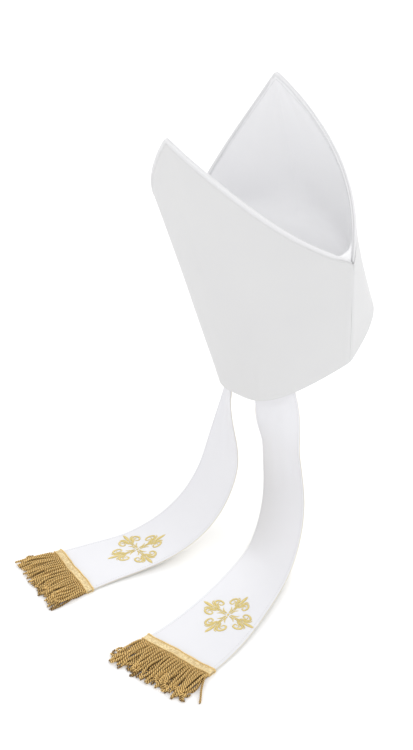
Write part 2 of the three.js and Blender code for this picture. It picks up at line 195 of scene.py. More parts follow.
@dataclass
class Surface:
    """A closed mesh being made: points, faces and one UV for each corner of a face."""

    points: Array
    quads: Array
    quad_uv: Array
    tris: Array
    tri_uv: Array
    tone: Array

    @classmethod
    def wall(cls, front: Array, back: Array, uv: Array) -> "Surface":
        """Close two grids of points into one slab.

        Corner (i, j) of the front grid faces corner (i, j) of the back grid, and a strip of
        quads joins the two along all four borders.

        Args:
            front: Grid of points of one face, rows by columns by 3.
            back: Grid of points of the other face, of the same shape.
            uv: Grid of UVs that both faces share.

        Returns:
            The slab.
        """
        rows, cols = front.shape[:2]
        size = rows * cols
        at = np.arange(size).reshape(rows, cols)
        face = np.stack([at[:-1, :-1], at[:-1, 1:], at[1:, 1:], at[1:, :-1]], -1).reshape(-1, 4)
        ring = np.concatenate([at[0, :-1], at[:-1, -1], at[-1, :0:-1], at[:0:-1, 0]])
        after = np.roll(ring, -1)
        strip = np.stack([after, ring, ring + size, after + size], -1)
        flat = uv.reshape(-1, 2)
        thick = np.array([0, 1.5 * MM])
        strip_uv = np.stack([flat[after], flat[ring], flat[ring] + thick, flat[after] + thick], 1)
        return cls(
            np.concatenate([front.reshape(-1, 3), back.reshape(-1, 3)]),
            np.concatenate([face, face[:, ::-1] + size, strip]),
            np.concatenate([flat[face], flat[face[:, ::-1]], strip_uv]),
            np.zeros((0, 3), int),
            np.zeros((0, 3, 2)),
            np.zeros(2 * size),
        ).outward()

    @classmethod
    def tubes(cls, rings: Array, along: Array, around: Array, tone: Array | None = None) -> "Surface":
        """Skin a batch of tubes, each a row of rings closed by a point at both ends.

        Args:
            rings: Points, tubes by stations by points of a ring by 3.
            along: The UV along each tube, tubes by stations.
            around: The UV round a ring, one value more than the ring has points.
            tone: One value for each tube, kept as an attribute of its points.

        Returns:
            The tubes as one surface.
        """
        count, stations, size = rings.shape[:3]
        at = np.arange(count * stations * size).reshape(count, stations, size)
        turned = np.roll(at, -1, 2)
        quads = np.stack([at[:, :-1], turned[:, :-1], turned[:, 1:], at[:, 1:]], -1)
        u = np.broadcast_to(along[:, :, None], (count, stations, size + 1))
        uv = np.stack([u, np.broadcast_to(around, u.shape)], -1)
        quad_uv = np.stack([uv[:, :-1, :-1], uv[:, :-1, 1:], uv[:, 1:, 1:], uv[:, 1:, :-1]], -2)
        poles = at.size + np.arange(2 * count).reshape(2, count, 1) + np.zeros((1, 1, size), int)
        first = np.stack([poles[0], turned[:, 0], at[:, 0]], -1)
        last = np.stack([poles[1], at[:, -1], turned[:, -1]], -1)
        uv_first = np.stack([uv[:, 0, :-1], uv[:, 0, 1:], uv[:, 0, :-1]], -2)
        uv_last = np.stack([uv[:, -1, :-1], uv[:, -1, :-1], uv[:, -1, 1:]], -2)
        tones = np.zeros(count) if tone is None else tone
        return cls(
            np.concatenate([rings.reshape(-1, 3), rings[:, 0].mean(1), rings[:, -1].mean(1)]),
            quads.reshape(-1, 4),
            quad_uv.reshape(-1, 4, 2),
            np.concatenate([first.reshape(-1, 3), last.reshape(-1, 3)]),
            np.concatenate([uv_first.reshape(-1, 3, 2), uv_last.reshape(-1, 3, 2)]),
            np.concatenate([np.repeat(tones, stations * size), tones, tones]),
        ).outward()

    @classmethod
    def join(cls, parts: list["Surface"]) -> "Surface":
        """Put several surfaces into one."""
        start = np.cumsum([0] + [len(p.points) for p in parts[:-1]])
        return cls(
            np.concatenate([p.points for p in parts]),
            np.concatenate([p.quads + k for p, k in zip(parts, start)]),
            np.concatenate([p.quad_uv for p in parts]),
            np.concatenate([p.tris + k for p, k in zip(parts, start)]),
            np.concatenate([p.tri_uv for p in parts]),
            np.concatenate([p.tone for p in parts]),
        )

    def outward(self) -> "Surface":
        """Turn every face round if the signed volume, the sum of a.(b x c) / 6, is below 0.

        Returns:
            The surface itself.
        """
        halves = np.concatenate([self.quads[:, [0, 1, 2]], self.quads[:, [0, 2, 3]], self.tris])
        a, b, c = (self.points[halves[:, k]] for k in range(3))
        if np.einsum("ij,ij->", a, np.cross(b, c)) < 0:
            self.quads = self.quads[:, ::-1]
            self.quad_uv = self.quad_uv[:, ::-1]
            self.tris = self.tris[:, ::-1]
            self.tri_uv = self.tri_uv[:, ::-1]
        return self

    def piece(self, name: str, finish: "Finish", slot: Slot, crease_deg: float = 55) -> bpy.types.Object:
        """Make the Blender object of this surface, riding on the mitre's one body.

        Args:
            name: The piece's name.
            finish: The finish that dresses it.
            slot: Not used.
            crease_deg: Faces that meet at more than this angle keep a crease.

        Returns:
            The object.
        """
        mesh = bpy.data.meshes.new(name)
        mesh.from_pydata(self.points.tolist(), [], self.quads.tolist() + self.tris.tolist())
        layer = mesh.uv_layers.new(name=UV_MAP)
        uv = np.concatenate([self.quad_uv.reshape(-1, 2), self.tri_uv.reshape(-1, 2)])
        layer.uv.foreach_set("vector", uv.astype(np.float32).ravel())
        tone = mesh.attributes.new(PILE_SHADE_ATTRIBUTE, "FLOAT", "POINT")
        tone.data.foreach_set("value", self.tone.astype(np.float32))
        mesh.shade_smooth()
        mesh.set_sharp_from_angle(angle=math.radians(crease_deg))
        mesh.materials.append(finish.material())
        made = bpy.data.objects.new(name, mesh)
        bpy.context.scene.collection.objects.link(made)
        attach(made, "root")
        LOG.info("%s: %d faces", name, len(self.quads) + len(self.tris))
        return made


def cloth_uv(grid: Array) -> Array:
    """Lay a grid of points flat: U is the distance run along its row, V down its column."""
    return np.stack([run_length(grid, 1), run_length(grid, 0)], -1)


def declare_sheet(
    piece: bpy.types.Object, grid: Array
) -> None:
    """Measure the flat size of a piece's sheet from its middle layer, and log it.

    Width and length are the longest row and column of the grid, and the area is the sum of
    its cells, each half the cross product of its diagonals.

    Args:
        piece: The finished piece.
        grid: Points of the sheet's middle layer.
    """
    width = float(run_length(grid, 1)[:, -1].max())
    length = float(run_length(grid, 0)[-1].max())
    diagonals = np.cross(grid[1:, 1:] - grid[:-1, :-1], grid[1:, :-1] - grid[:-1, 1:])
    area = float(np.linalg.norm(diagonals, axis=-1).sum() / 2)
    area = min(area, width * length)
    LOG.info("%s: cut %.0f by %.0f mm, %.0f cm2", piece.name, width / MM, length / MM, area * 1e4)


@dataclass(frozen=True)
class Stitching:
    """A row of machine stitches in white thread."""

    pitch: float = 3.1 * MM
    length: float = 2.4 * MM
    radius: float = 0.21 * MM
    stations: int = 5
    around: int = 6

    def along(self, path: Array, normal: Array) -> Surface:
        """Lay stitches along a path.

        A stitch is a short rod of radius r sqrt(1 - x^2) at x from -0.92 to 0.92 of its half
        length. It stands proud in its middle and dips into the cloth at both ends.

        Args:
            path: Points of the line that is sewn.
            normal: The way the stitches face, one direction for each point.

        Returns:
            All the stitches as one surface.
        """
        run = run_length(path, 0)
        middles = np.arange(self.pitch, run[-1] - self.pitch, self.pitch)
        x = np.linspace(-0.92, 0.92, self.stations)
        s = middles[:, None] + x * self.length / 2
        at = np.stack([np.interp(s, run, path[:, k]) for k in range(3)], -1)
        up = unit(np.stack([np.interp(s, run, normal[:, k]) for k in range(3)], -1))
        ahead = unit(np.gradient(at, axis=1))
        side = np.cross(ahead, up)
        at = at + up * (self.radius * (0.55 - 0.9 * x**2))[None, :, None]
        radius = self.radius * np.sqrt(1 - x**2)[None, :, None, None]
        angle = np.linspace(0, TURN, self.around, endpoint=False)[:, None]
        rings = rings_round(at, side, up, radius, angle)
        return Surface.tubes(rings, s, np.linspace(0, 1, self.around + 1))


# ---- finishes ------------------------------------------------------------------------


@dataclass
class Graph:
    """A node tree being wired."""

    tree: bpy.types.NodeTree

    def feed(self, socket: Socket, value: object) -> None:
        """Link a socket to another socket, or set its own value."""
        if isinstance(value, bpy.types.NodeSocket):
            self.tree.links.new(value, socket)
        else:
            socket.default_value = value

    def add(self, kind: str, inputs: dict | None = None, **settings: object) -> Node:
        """Add a shader node.

        Args:
            kind: The node's type, without its ShaderNode prefix.
            inputs: What feeds its inputs, by name or number.
            settings: The node's own properties.

        Returns:
            The node.
        """
        node = self.tree.nodes.new(f"ShaderNode{kind}")
        for key, value in settings.items():
            setattr(node, key, value)
        for key, value in (inputs or {}).items():
            self.feed(node.inputs[key], value)
        return node

    def math(self, operation: str, a: object, b: object = 0.0) -> Socket:
        """Add a Math node and return its value."""
        return self.add("Math", {0: a, 1: b}, operation=operation).outputs[0]

    def wave(self, phase: object) -> Socket:
        """Return 0.5 + 0.5 sin(2 pi phase)."""
        turned = self.math("SINE", self.math("MULTIPLY", phase, TURN))
        return self.math("ADD", self.math("MULTIPLY", turned, 0.5), 0.5)

    def blend(self, share: object, a: object, b: object) -> Socket:
        """Return the colour a share of the way from a to b."""
        node = self.add("Mix", data_type="RGBA")
        self.feed(node.inputs[0], share)
        self.feed(node.inputs[6], a)
        self.feed(node.inputs[7], b)
        return node.outputs[2]

    def group(self, tree: bpy.types.NodeTree, inputs: dict) -> Node:
        """Place a node group with its own values."""
        node = self.add("Group", node_tree=tree)
        for key, value in inputs.items():
            self.feed(node.inputs[key], value)
        return node


def group_of(
    name: str, inputs: dict[str, float | None], outputs: list[str]
) -> tuple[Graph, Node, Node] | None:
    """Start a node group with named sockets, unless it is there already.

    Args:
        name: The group's name.
        inputs: The inputs with their usual values, None for a vector.
        outputs: The names of the values that it puts out.

    Returns:
        The graph with its input and output nodes, or None if the group was made before.
    """
    if name in bpy.data.node_groups:
        return None
    tree = bpy.data.node_groups.new(name, "ShaderNodeTree")
    for key, value in inputs.items():
        kind = "NodeSocketVector" if value is None else "NodeSocketFloat"
        socket = tree.interface.new_socket(key, in_out="INPUT", socket_type=kind)
        if value is not None:
            socket.default_value = value
    for key in outputs:
        tree.interface.new_socket(key, in_out="OUTPUT", socket_type="NodeSocketFloat")
    graph = Graph(tree)
    return graph, tree.nodes.new("NodeGroupInput"), tree.nodes.new("NodeGroupOutput")


def weave_group() -> bpy.types.NodeTree:
    """Make the woven relief that every cloth shares.

    With x and y the thread counts across and along, the plain weave is sin(pi x) sin(pi y) and
    the twill rib over it is sin(2 pi (x + y / 2)). The second output, (1 - plain)^3, is high in the
    dips where the threads part, and the cloth is darkened there as painted shade.

    Returns:
        The group, with a Height and the painted shade between threads.
    """
    name = "woven_threads"
    started = group_of(name, {"UV": None, "Threads": 2000.0, "Rib": 0.4}, ["Height", "Gap"])
    if started:
        graph, given, out = started
        flat = {0: given.outputs["UV"], "Scale": given.outputs["Threads"]}
        scaled = graph.add("VectorMath", flat, operation="SCALE")
        xyz = graph.add("SeparateXYZ", {0: scaled.outputs[0]})
        warp = graph.math("SINE", graph.math("MULTIPLY", xyz.outputs[0], math.pi))
        weft = graph.math("SINE", graph.math("MULTIPLY", xyz.outputs[1], math.pi))
        plain = graph.math("ADD", graph.math("MULTIPLY", graph.math("MULTIPLY", warp, weft), 0.5), 0.5)
        rib = graph.wave(graph.math("ADD", xyz.outputs[0], graph.math("MULTIPLY", xyz.outputs[1], 0.5)))
        ribbed = graph.math("MULTIPLY", rib, given.outputs["Rib"])
        height = graph.math("ADD", plain, ribbed)
        # Painted shade: high in the dips where the threads part.
        gap = graph.math("POWER", graph.math("SUBTRACT", 1.0, plain), 3.0)
        graph.feed(out.inputs["Height"], height)
        graph.feed(out.inputs["Gap"], gap)
    return bpy.data.node_groups[name]


def drift_group() -> bpy.types.NodeTree:
    """Make the slow unevenness and the fine fuzz that all the finishes share.

    Drift is soft noise on object coordinates, and Fuzz is noise forty times finer.

    Returns:
        The group, with a Drift and a Fuzz.
    """
    name = "uneven_tone"
    started = group_of(name, {"Scale": 12.0}, ["Drift", "Fuzz"])
    if started:
        graph, given, out = started
        place = graph.add("TexCoord").outputs["Object"]
        slow = graph.add("TexNoise", {"Vector": place, "Scale": given.outputs["Scale"], "Detail": 3.0})
        fine = graph.math("MULTIPLY", given.outputs["Scale"], 40.0)
        fuzz = graph.add("TexNoise", {"Vector": place, "Scale": fine, "Detail": 2.0})
        graph.feed(out.inputs["Drift"], slow.outputs["Fac"])
        graph.feed(out.inputs["Fuzz"], fuzz.outputs["Fac"])
    return bpy.data.node_groups[name]


def strand_group() -> bpy.types.NodeTree:
    """Make the slanting threads of a wound or twisted gold strand.

    With u the metres along a strand and v the share round it, a thread's height is
    0.5 + 0.5 sin(2 pi (u Threads + v Slant)). The second output, |2 v - 1|^Focus, is high along both
    borders, where a ply turns in towards its neighbour or a stroke meets the next, and is used as
    painted shade.

    Returns:
        The group, with a Height and the painted shade along the borders.
    """
    name = "wound_threads"
    started = group_of(name, {"UV": None, "Threads": 2200.0, "Slant": 2.0, "Focus": 4.0}, ["Height", "Rim"])
    if started:
        graph, given, out = started
        xyz = graph.add("SeparateXYZ", {0: given.outputs["UV"]})
        run = graph.math("MULTIPLY", xyz.outputs[0], given.outputs["Threads"])
        lean_over = graph.math("MULTIPLY", xyz.outputs[1], given.outputs["Slant"])
        graph.feed(out.inputs["Height"], graph.wave(graph.math("ADD", run, lean_over)))
        # Painted shade: high along both borders of the strand.
        doubled = graph.math("MULTIPLY", xyz.outputs[1], 2.0)
        centred = graph.math("ABSOLUTE", graph.math("SUBTRACT", doubled, 1.0))
        graph.feed(out.inputs["Rim"], graph.math("POWER", centred, given.outputs["Focus"]))
    return bpy.data.node_groups[name]


@dataclass(frozen=True)
class Finish:
    """What every finish has: a name, and a material made once."""

    name: str

    def material(self) -> bpy.types.Material:
        """Return the finish's material, made the first time."""
        found = bpy.data.materials.get(self.name)
        if found:
            return found
        made = bpy.data.materials.new(self.name)
        made.use_nodes = True
        graph = Graph(made.node_tree)
        shader = made.node_tree.nodes["Principled BSDF"]
        uv = graph.add("UVMap", uv_map=UV_MAP).outputs[0]
        self.dress(graph, shader, uv)
        return made

    def dress(self, graph: Graph, shader: Node, uv: Socket) -> None:
        """Wire the finish's own nodes."""
        raise NotImplementedError


@dataclass(frozen=True)
class Cloth(Finish):
    """Woven white cloth with a fine rib and a soft sheen."""

    light: tuple
    shade: tuple
    threads: float = 2100
    rib: float = 0.5
    depth: float = 0.05 * MM
    roughness: float = 0.82
    sheen: float = 0.18

    def dress(self, graph: Graph, shader: Node, uv: Socket) -> None:
        """Wire the cloth: the weave gives the relief and painted shade between threads, and the drift varies
        its colour.
        """
        weave = graph.group(weave_group(), {"UV": uv, "Threads": self.threads, "Rib": self.rib})
        tone = graph.group(drift_group(), {"Scale": 14.0})
        # Painted shade between the threads, added to the random drift of the colour.
        thread_gap_shade = graph.math("MULTIPLY", weave.outputs["Gap"], 0.35)
        uneven = graph.math("ADD", graph.math("MULTIPLY", tone.outputs["Drift"], 0.5), thread_gap_shade)
        graph.feed(shader.inputs["Base Color"], graph.blend(uneven, self.light, self.shade))
        dry = graph.math("MULTIPLY", tone.outputs["Fuzz"], 0.14)
        graph.feed(shader.inputs["Roughness"], graph.math("ADD", dry, self.roughness - 0.07))
        fuzzy = graph.math("MULTIPLY", tone.outputs["Fuzz"], 0.6)
        relief = graph.math("ADD", weave.outputs["Height"], fuzzy)
        bump = graph.add("Bump", {"Height": relief, "Distance": self.depth, "Strength": 0.7})
        graph.feed(shader.inputs["Normal"], bump.outputs[0])
        shader.inputs["Sheen Weight"].default_value = self.sheen
        shader.inputs["Sheen Roughness"].default_value = 0.45
        shader.inputs["Specular IOR Level"].default_value = 0.25


@dataclass(frozen=True)
class GoldThread(Finish):
    """Wound gold thread: satin stitch, twisted cord or braid, with painted highlight and shade."""

    # light and dark are lit and shaded copies of the gold: painted highlight on the windings' crowns and
    # glints, and painted shade between them.
    light: tuple
    dark: tuple
    # The third colour, rim, is painted shade, laid along the strand's borders by the border shade share.
    rim: tuple
    threads: float
    slant: float
    border_shade_share: float
    metallic: float = 0.35
    roughness: float = 0.42
    depth: float = 0.12 * MM
    # How strongly cords deep in the fringe's pile are darkened, as painted shade.
    pile_shade: float = 0.0
    focus: float = 4.0
    patches: float = 30
    contrast: float = 0.6
    most: float = 1.0
    specular: float = 0.5

    def dress(self, graph: Graph, shader: Node, uv: Socket) -> None:
        """Wire the thread: relief from its windings, painted highlight and glints, and painted shade."""
        twist = {"UV": uv, "Threads": self.threads, "Slant": self.slant, "Focus": self.focus}
        wound = graph.group(strand_group(), twist)
        tone = graph.group(drift_group(), {"Scale": self.patches})
        height = wound.outputs["Height"]
        # Painted highlight: the crowns of the windings and a random speckle of glints are lighter.
        uneven = graph.math("SUBTRACT", tone.outputs["Fuzz"], 0.5)
        glint = graph.math("MULTIPLY", uneven, self.contrast)
        lit = graph.math("ADD", graph.math("MULTIPLY", height, 0.55), graph.math("ADD", glint, 0.25))
        body = graph.blend(lit, self.dark, self.light)
        # Painted shade along the strand's borders, where plies and strokes meet.
        edge = graph.math("MULTIPLY", wound.outputs["Rim"], self.border_shade_share)
        # Painted shade on cords deep in the fringe's pile.
        own = graph.add("Attribute", attribute_name=PILE_SHADE_ATTRIBUTE, attribute_type="GEOMETRY").outputs["Fac"]
        deep = graph.math("MULTIPLY", own, self.pile_shade)
        share = graph.math("MINIMUM", graph.math("ADD", edge, deep), self.most)
        graph.feed(shader.inputs["Base Color"], graph.blend(share, body, self.rim))
        rough = graph.math("ADD", graph.math("MULTIPLY", tone.outputs["Drift"], 0.2), self.roughness - 0.1)
        graph.feed(shader.inputs["Roughness"], rough)
        bump = graph.add("Bump", {"Height": height, "Distance": self.depth, "Strength": 0.8})
        graph.feed(shader.inputs["Normal"], bump.outputs[0])
        shader.inputs["Metallic"].default_value = self.metallic
        shader.inputs["Specular IOR Level"].default_value = self.specular


PANEL_CLOTH = Cloth("white_panel_cloth", linear(204, 204, 204), linear(196, 196, 198))
# A lighter copy of the white cloth: painted highlight on the rolled edges.
EDGE_CLOTH_PAINTED_HIGHLIGHT = Cloth("white_edge_cloth_painted_highlight", linear(211, 211, 212), linear(203, 203, 205), threads=2400)
# A lighter copy of the white cloth: painted light that offsets the shade in the hollow between the horns.
GUSSET_CLOTH_PAINTED_LIGHT = Cloth("white_gusset_cloth_painted_light", linear(223, 223, 224), linear(215, 215, 218), rib=0.2)
LAPPET_CLOTH = Cloth("white_lappet_cloth", linear(214, 214, 217), linear(208, 208, 212))
LINING_CLOTH = Cloth(
    "cream_lining_cloth", linear(217, 212, 200), linear(206, 200, 187), threads=2600, rib=0.1
)
# A little darker than the cloth it sews: painted shade along the stitch lines.
WHITE_THREAD = Cloth(
    "white_sewing_thread", linear(192, 192, 195), linear(176, 176, 180), threads=5200, sheen=0.3
)
# In each gold finish below, the third colour is painted shade along the strands' borders; the braid's share
# of it is 0.
SATIN_GOLD = GoldThread(
    "gold_satin_stitch", linear(220, 202, 134), linear(198, 176, 102), linear(130, 104, 48),
    threads=2300, slant=1.2, border_shade_share=0.8, metallic=0.1, roughness=0.42, focus=3.0,
)
BRAID_GOLD = GoldThread(
    "gold_braid", linear(244, 226, 178), linear(186, 156, 104), linear(150, 130, 105),
    threads=1500, slant=900, border_shade_share=0, metallic=0.15, depth=0.18 * MM, patches=12, contrast=1.9,
)
CORD_GOLD = GoldThread(
    "gold_edge_cord", linear(246, 222, 162), linear(216, 180, 112), linear(150, 112, 60),
    threads=1400, slant=2, border_shade_share=0.5, metallic=0.15, focus=1.4,
)
# The fringe's deeper layers are darkened further by its pile shade, as painted shade.
FRINGE_GOLD = GoldThread(
    "gold_fringe_cord", linear(255, 230, 156), linear(198, 136, 60), linear(54, 18, 0),
    threads=1500, slant=2, border_shade_share=1.6, metallic=0.15, roughness=0.4, pile_shade=0.8, focus=1.35,
    most=0.92, specular=0.25,
)


# ---- crown ---------------------------------------------------------------------------


@dataclass(frozen=True)
class CrownPlan:
    """The sizes that the two halves of the crown share."""

    tilt: float = math.radians(17.2)
    wall: float = 2.6 * MM
    gap: float = 0.3 * MM
    seam_height: float = 156.2 * MM
    rim_half_width: float = 76 * MM
    crest_half_width: float = 167.6 * MM
    crest_shift: float = 41.2 * MM
    tip_rounding: float = 0.012
    arch: tuple = ((1, 0), (0.891, 0.232), (0.431, 0.595), (0, 1))
    roll_radius: float = 2.1 * MM
    roll_end: float = 0.9 * MM
    roll_narrows: float = 0.9
    roll_reach: float = 0.997
    cloth_tuck: float = 1.55
    gusset_thick: float = 1.2 * MM

    def lean(self, points: Array) -> Array:
        """Turn upright points back about the X axis by the crown's tilt."""
        c, s = math.cos(self.tilt), math.sin(self.tilt)
        x, y, z = np.moveaxis(points, -1, 0)
        return np.stack([x, y * c + z * s, z * c - y * s], -1)


PLAN = CrownPlan()


@dataclass(frozen=True)
class Horn:
    """One half of the crown: a wall whose outline is a rounded box that changes as it rises."""

    name: str
    side: float
    rim_depth: float
    rim_full: float
    crest_depth: float
    crest_full: float
    height: float

    def point(self, q: Array, z: Array, inset: Array) -> Array:
        """Find points of the wall.

        At the rim and at the crest the outline is x = W q and y = D (1 - |q|^F), with W the
        half width, D the depth and F the fullness, all less the inset. Between them both
        coordinates change evenly with height, and the crown then leans back.

        Args:
            q: -1 to 1 across the panel.
            z: Height above the rim, before the crown leans back.
            inset: Distance inside the outer face.

        Returns:
            The points.
        """
        w = np.abs(q)
        rim_lean = math.sin(math.atan(self.rim_depth * self.rim_full / PLAN.rim_half_width))
        crest_lean = math.sin(math.atan(self.crest_depth * self.crest_full / PLAN.crest_half_width))
        t = z / self.height
        rim_x = (PLAN.rim_half_width - inset / rim_lean) * q
        crest_x = (PLAN.crest_half_width - inset / crest_lean) * q
        rim_y = (self.rim_depth - inset) * (1 - w**self.rim_full)
        crest_y = (self.crest_depth - inset) * (1 - w**self.crest_full)
        x = lerp(rim_x, crest_x, t)
        y = PLAN.crest_shift * t + self.side * (lerp(rim_y, crest_y, t) + PLAN.gap / 2)
        return PLAN.lean(np.stack(np.broadcast_arrays(x, y, z), -1))

    def arch_height(self, q: Array) -> Array:
        """Find the height of the horn's free edge.

        The edge is the cubic Bezier curve of the plan's four arch points, read at
        sqrt(q^2 + r^2) across so that the tip is rounded by r.

        Args:
            q: -1 to 1 across the panel.

        Returns:
            Heights above the rim.
        """
        t = np.linspace(0, 1, 4001)
        weights = np.stack([(1 - t) ** 3, 3 * (1 - t) ** 2 * t, 3 * (1 - t) * t**2, t**3], -1)
        across, up = (weights @ np.array(PLAN.arch, float)).T
        share = np.interp(np.minimum(1, np.hypot(q, PLAN.tip_rounding)), across[::-1], up[::-1])
        return PLAN.seam_height + (self.height - PLAN.seam_height) * share

    def edge_height(self, q: Array, down: Array, blunt: float = 0.0) -> Array:
        """Find the height a distance below the free edge, measured square to it.

        It is the arch's height less down sqrt(1 + slope^2), with the slope read no nearer to
        the tip than blunt.

        Args:
            q: -1 to 1 across the panel.
            down: The distance below the edge.
            blunt: The smallest |q| at which the slope is read.

        Returns:
            Heights above the rim.
        """
        dq = 0.004
        near = np.where(q < 0, -1, 1) * np.maximum(np.abs(q), blunt)
        z = self.arch_height(near)
        rise = (self.arch_height(near + dq) - self.arch_height(near - dq)) / (2 * dq)
        step = self.point(near + dq, z, 0.0) - self.point(near - dq, z, 0.0)
        run = np.linalg.norm(step, axis=-1) / (2 * dq)
        return self.arch_height(q) - down * np.hypot(1, rise / run)

    def cut(self, q: Array) -> Array:
        """Return how far below the free edge the cloth ends, tucked into the roll."""
        return PLAN.cloth_tuck * roll_radius(q)


BACK = Horn("back", 1, 109 * MM, 3.54, 75.6 * MM, 1.62, 315.2 * MM)
FRONT = Horn("front", -1, 115.4 * MM, 2.36, 80.7 * MM, 1.59, 315.4 * MM)


def roll_radius(q: Array) -> Array:
    """Return the roll's half height: full along the horn, narrowing into the notch."""
    share = smooth((np.abs(q) - PLAN.roll_narrows) / (1 - PLAN.roll_narrows))
    return lerp(PLAN.roll_radius, PLAN.roll_end, share)


@dataclass(frozen=True)
class HornWork:
    """The cloth wall, the rolled edge and the topstitching of one horn.

    A groove is its depth, its place and its half width. The rows are distances below the cut
    edge and above the rim, and the turns are how far the hem's edge is rounded.
    """

    horn: Horn
    seed: float
    columns: int = 241
    panel_spread: float = 1.1
    middle_rows: int = 34
    blunt: float = 0.03
    stitch_below: float = 2.6 * MM
    stitch_reach: float = 0.985
    ditch: tuple = (0.5 * MM, 0.6 * MM, 0.5 * MM)
    sewn: tuple = (0.34 * MM, stitch_below, 0.45 * MM)
    pucker: tuple = (0.08 * MM, 3 * MM, 2.4 * MM)
    pucker_pitch: float = 6.2 * MM
    seam: tuple = (1.1 * MM, 0, 1.3 * MM)
    hem: tuple = (0.22 * MM, 5.4 * MM, 0.5 * MM)
    wave: float = 0.5 * MM
    hem_radius: float = 1.2 * MM
    edge_rows: tuple = (0, 0.4, 0.8, 1.2, 1.5, 1.8, 2.1, 2.5, 3.1, 4, 5.5, 8)
    hem_rows: tuple = (12, 8.5, 6.6, 6, 5.6, 5.2, 4.8, 4.2, 3, 1.9)
    hem_turns: tuple = (0, 25, 50, 72, 84)
    roll_stations: int = 461
    roll_spread: float = 1.3
    roll_apart: float = 1.08
    roll_wide: float = 1.36

    def relief(self, q: Array, z: Array, below: Array) -> Array:
        """Shape the outer face: how far it lies inside the panel's own outline.

        The cloth dips under the roll, along the stitch line and at the side seams, puckers
        gently between stitches, and drifts in and out by a few tenths of a millimetre.

        Args:
            q: -1 to 1 across the panel.
            z: Height above the rim.
            below: Distance below the cut edge.

        Returns:
            Insets, which are never below 0.
        """
        half = lerp(PLAN.rim_half_width, PLAN.crest_half_width, z / self.horn.height)
        from_seam = (1 - np.abs(q)) * half * 1.4
        pucker = groove(below, self.pucker) * raised(np.cos(TURN * half * q / self.pucker_pitch))
        pulled = groove(below, self.ditch) + groove(below, self.sewn) + pucker
        seams = groove(from_seam, self.seam) + groove(z, self.hem)
        waves = np.sin(q * 5.1 + z * 19 + self.seed) * np.sin(z * 31 - q * 2.3 + 2 * self.seed)
        settled = smooth(below / (30 * MM)) * smooth(z / (25 * MM))
        return pulled + seams + self.wave * settled * raised(waves)

    def panel(self) -> bpy.types.Object:
        """Make the panel's cloth wall, from the roll down to the turned hem."""
        u = np.linspace(-1, 1, self.columns)
        q = spread(u, self.panel_spread)[None]
        cut = self.horn.cut(q)
        edge = np.array(self.edge_rows)[:, None] * MM
        top = self.horn.edge_height(q, cut + edge, self.blunt)
        top[0] = self.horn.edge_height(q[0], cut[0])
        hem = np.array(self.hem_rows)[:, None] * MM
        share = np.linspace(0, 1, self.middle_rows + 2)[1:-1, None]
        middle = lerp(top[-1], hem[0], share)
        turned = np.radians(np.array(self.hem_turns))[:, None]
        low = self.hem_radius * (1 - np.sin(turned)) + 0 * q
        z = np.concatenate([top, middle, hem + 0 * q, low])
        below = self.horn.edge_height(q, cut, self.blunt) - z
        fold = self.hem_radius * (1 - np.cos(turned))
        rounded = np.concatenate([np.zeros((len(z) - len(low), 1)), fold])
        outer = self.horn.point(q, z, np.maximum(self.relief(q, z, np.maximum(below, 0)), rounded))
        inner = self.horn.point(q, z, PLAN.wall - rounded)
        middle_layer = self.horn.point(q, z, PLAN.wall / 2)
        made = Surface.wall(outer, inner, cloth_uv(outer)).piece(
            f"{self.horn.name}_panel_cloth", PANEL_CLOTH, Slot.PANEL, crease_deg=65
        )
        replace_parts(made, f"{self.horn.name}_panel")
        declare_sheet(made, middle_layer)
        return made

    def roll(self) -> bpy.types.Object:
        """Make the rolled edge, two turned cloth edges sewn side by side.

        The section is two ellipses with half axes a and h whose centres stand b either side of
        the middle, a h-high figure eight with a ditch along its top. It follows the horn's free
        edge and shrinks with the roll's own half height.

        Returns:
            The piece.
        """
        q = PLAN.roll_reach * spread(np.linspace(-1, 1, self.roll_stations), self.roll_spread)
        radius = roll_radius(q)
        inset = (PLAN.wall + PLAN.gap + PLAN.gusset_thick) / 2
        path = self.axis(q, inset)
        dq = 0.006
        ahead = unit(self.axis(q + dq, inset) - self.axis(q - dq, inset))
        z = self.horn.edge_height(q, radius)
        deep = self.horn.point(q, z, inset + MM) - self.horn.point(q, z, inset - MM)
        across = unit(deep - ahead * np.sum(deep * ahead, -1, keepdims=True))
        up = np.cross(ahead, across)
        run = run_length(path, 0)
        apart, wide = self.roll_apart, self.roll_wide
        meet = math.acos(-apart / wide)
        angle = np.linspace(-meet, meet, 15)
        right = np.stack([apart + wide * np.cos(angle), PLAN.roll_radius / MM * np.sin(angle)], -1)
        left = right[::-1][1:-1] * [-1, 1]
        section = np.concatenate([right, left]) * MM
        plump = 1 + 0.05 * np.sin(run / (7 * MM) + self.seed) * np.sin(run / (23 * MM))
        stitch = 1 - 0.025 * np.cos(TURN * run / Stitching.pitch)
        scale = (radius / PLAN.roll_radius)[:, None]
        x = section[:, 0] * scale * (plump * stitch)[:, None]
        y = section[:, 1] * scale
        rings = path[:, None] + across[:, None] * x[..., None] + up[:, None] * y[..., None]
        around = run_length(np.concatenate([section, section[:1]]), 0)
        made = Surface.tubes(rings[None], run[None], around).piece(
            f"{self.horn.name}_edge_roll_cloth", EDGE_CLOTH_PAINTED_HIGHLIGHT, Slot.EDGE, crease_deg=80
        )
        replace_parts(made, f"{self.horn.name}_edge_roll")
        return made

    def axis(self, q: Array, inset: float) -> Array:
        """Return points of the roll's middle line."""
        return self.horn.point(q, self.horn.edge_height(q, roll_radius(q)), inset)

    def stitches(self) -> bpy.types.Object:
        """Make the topstitching on the outer face, just below the roll."""
        q = np.linspace(-self.stitch_reach, self.stitch_reach, 700)
        z = self.horn.edge_height(q, self.horn.cut(q) + self.stitch_below, self.blunt)
        inset = self.relief(q, z, np.full_like(q, self.stitch_below))
        path = self.horn.point(q, z, inset)
        normal = unit(path - self.horn.point(q, z, inset + MM))
        return Stitching().along(path, normal).piece(
            f"{self.horn.name}_edge_stitches", WHITE_THREAD, Slot.EDGE
        )


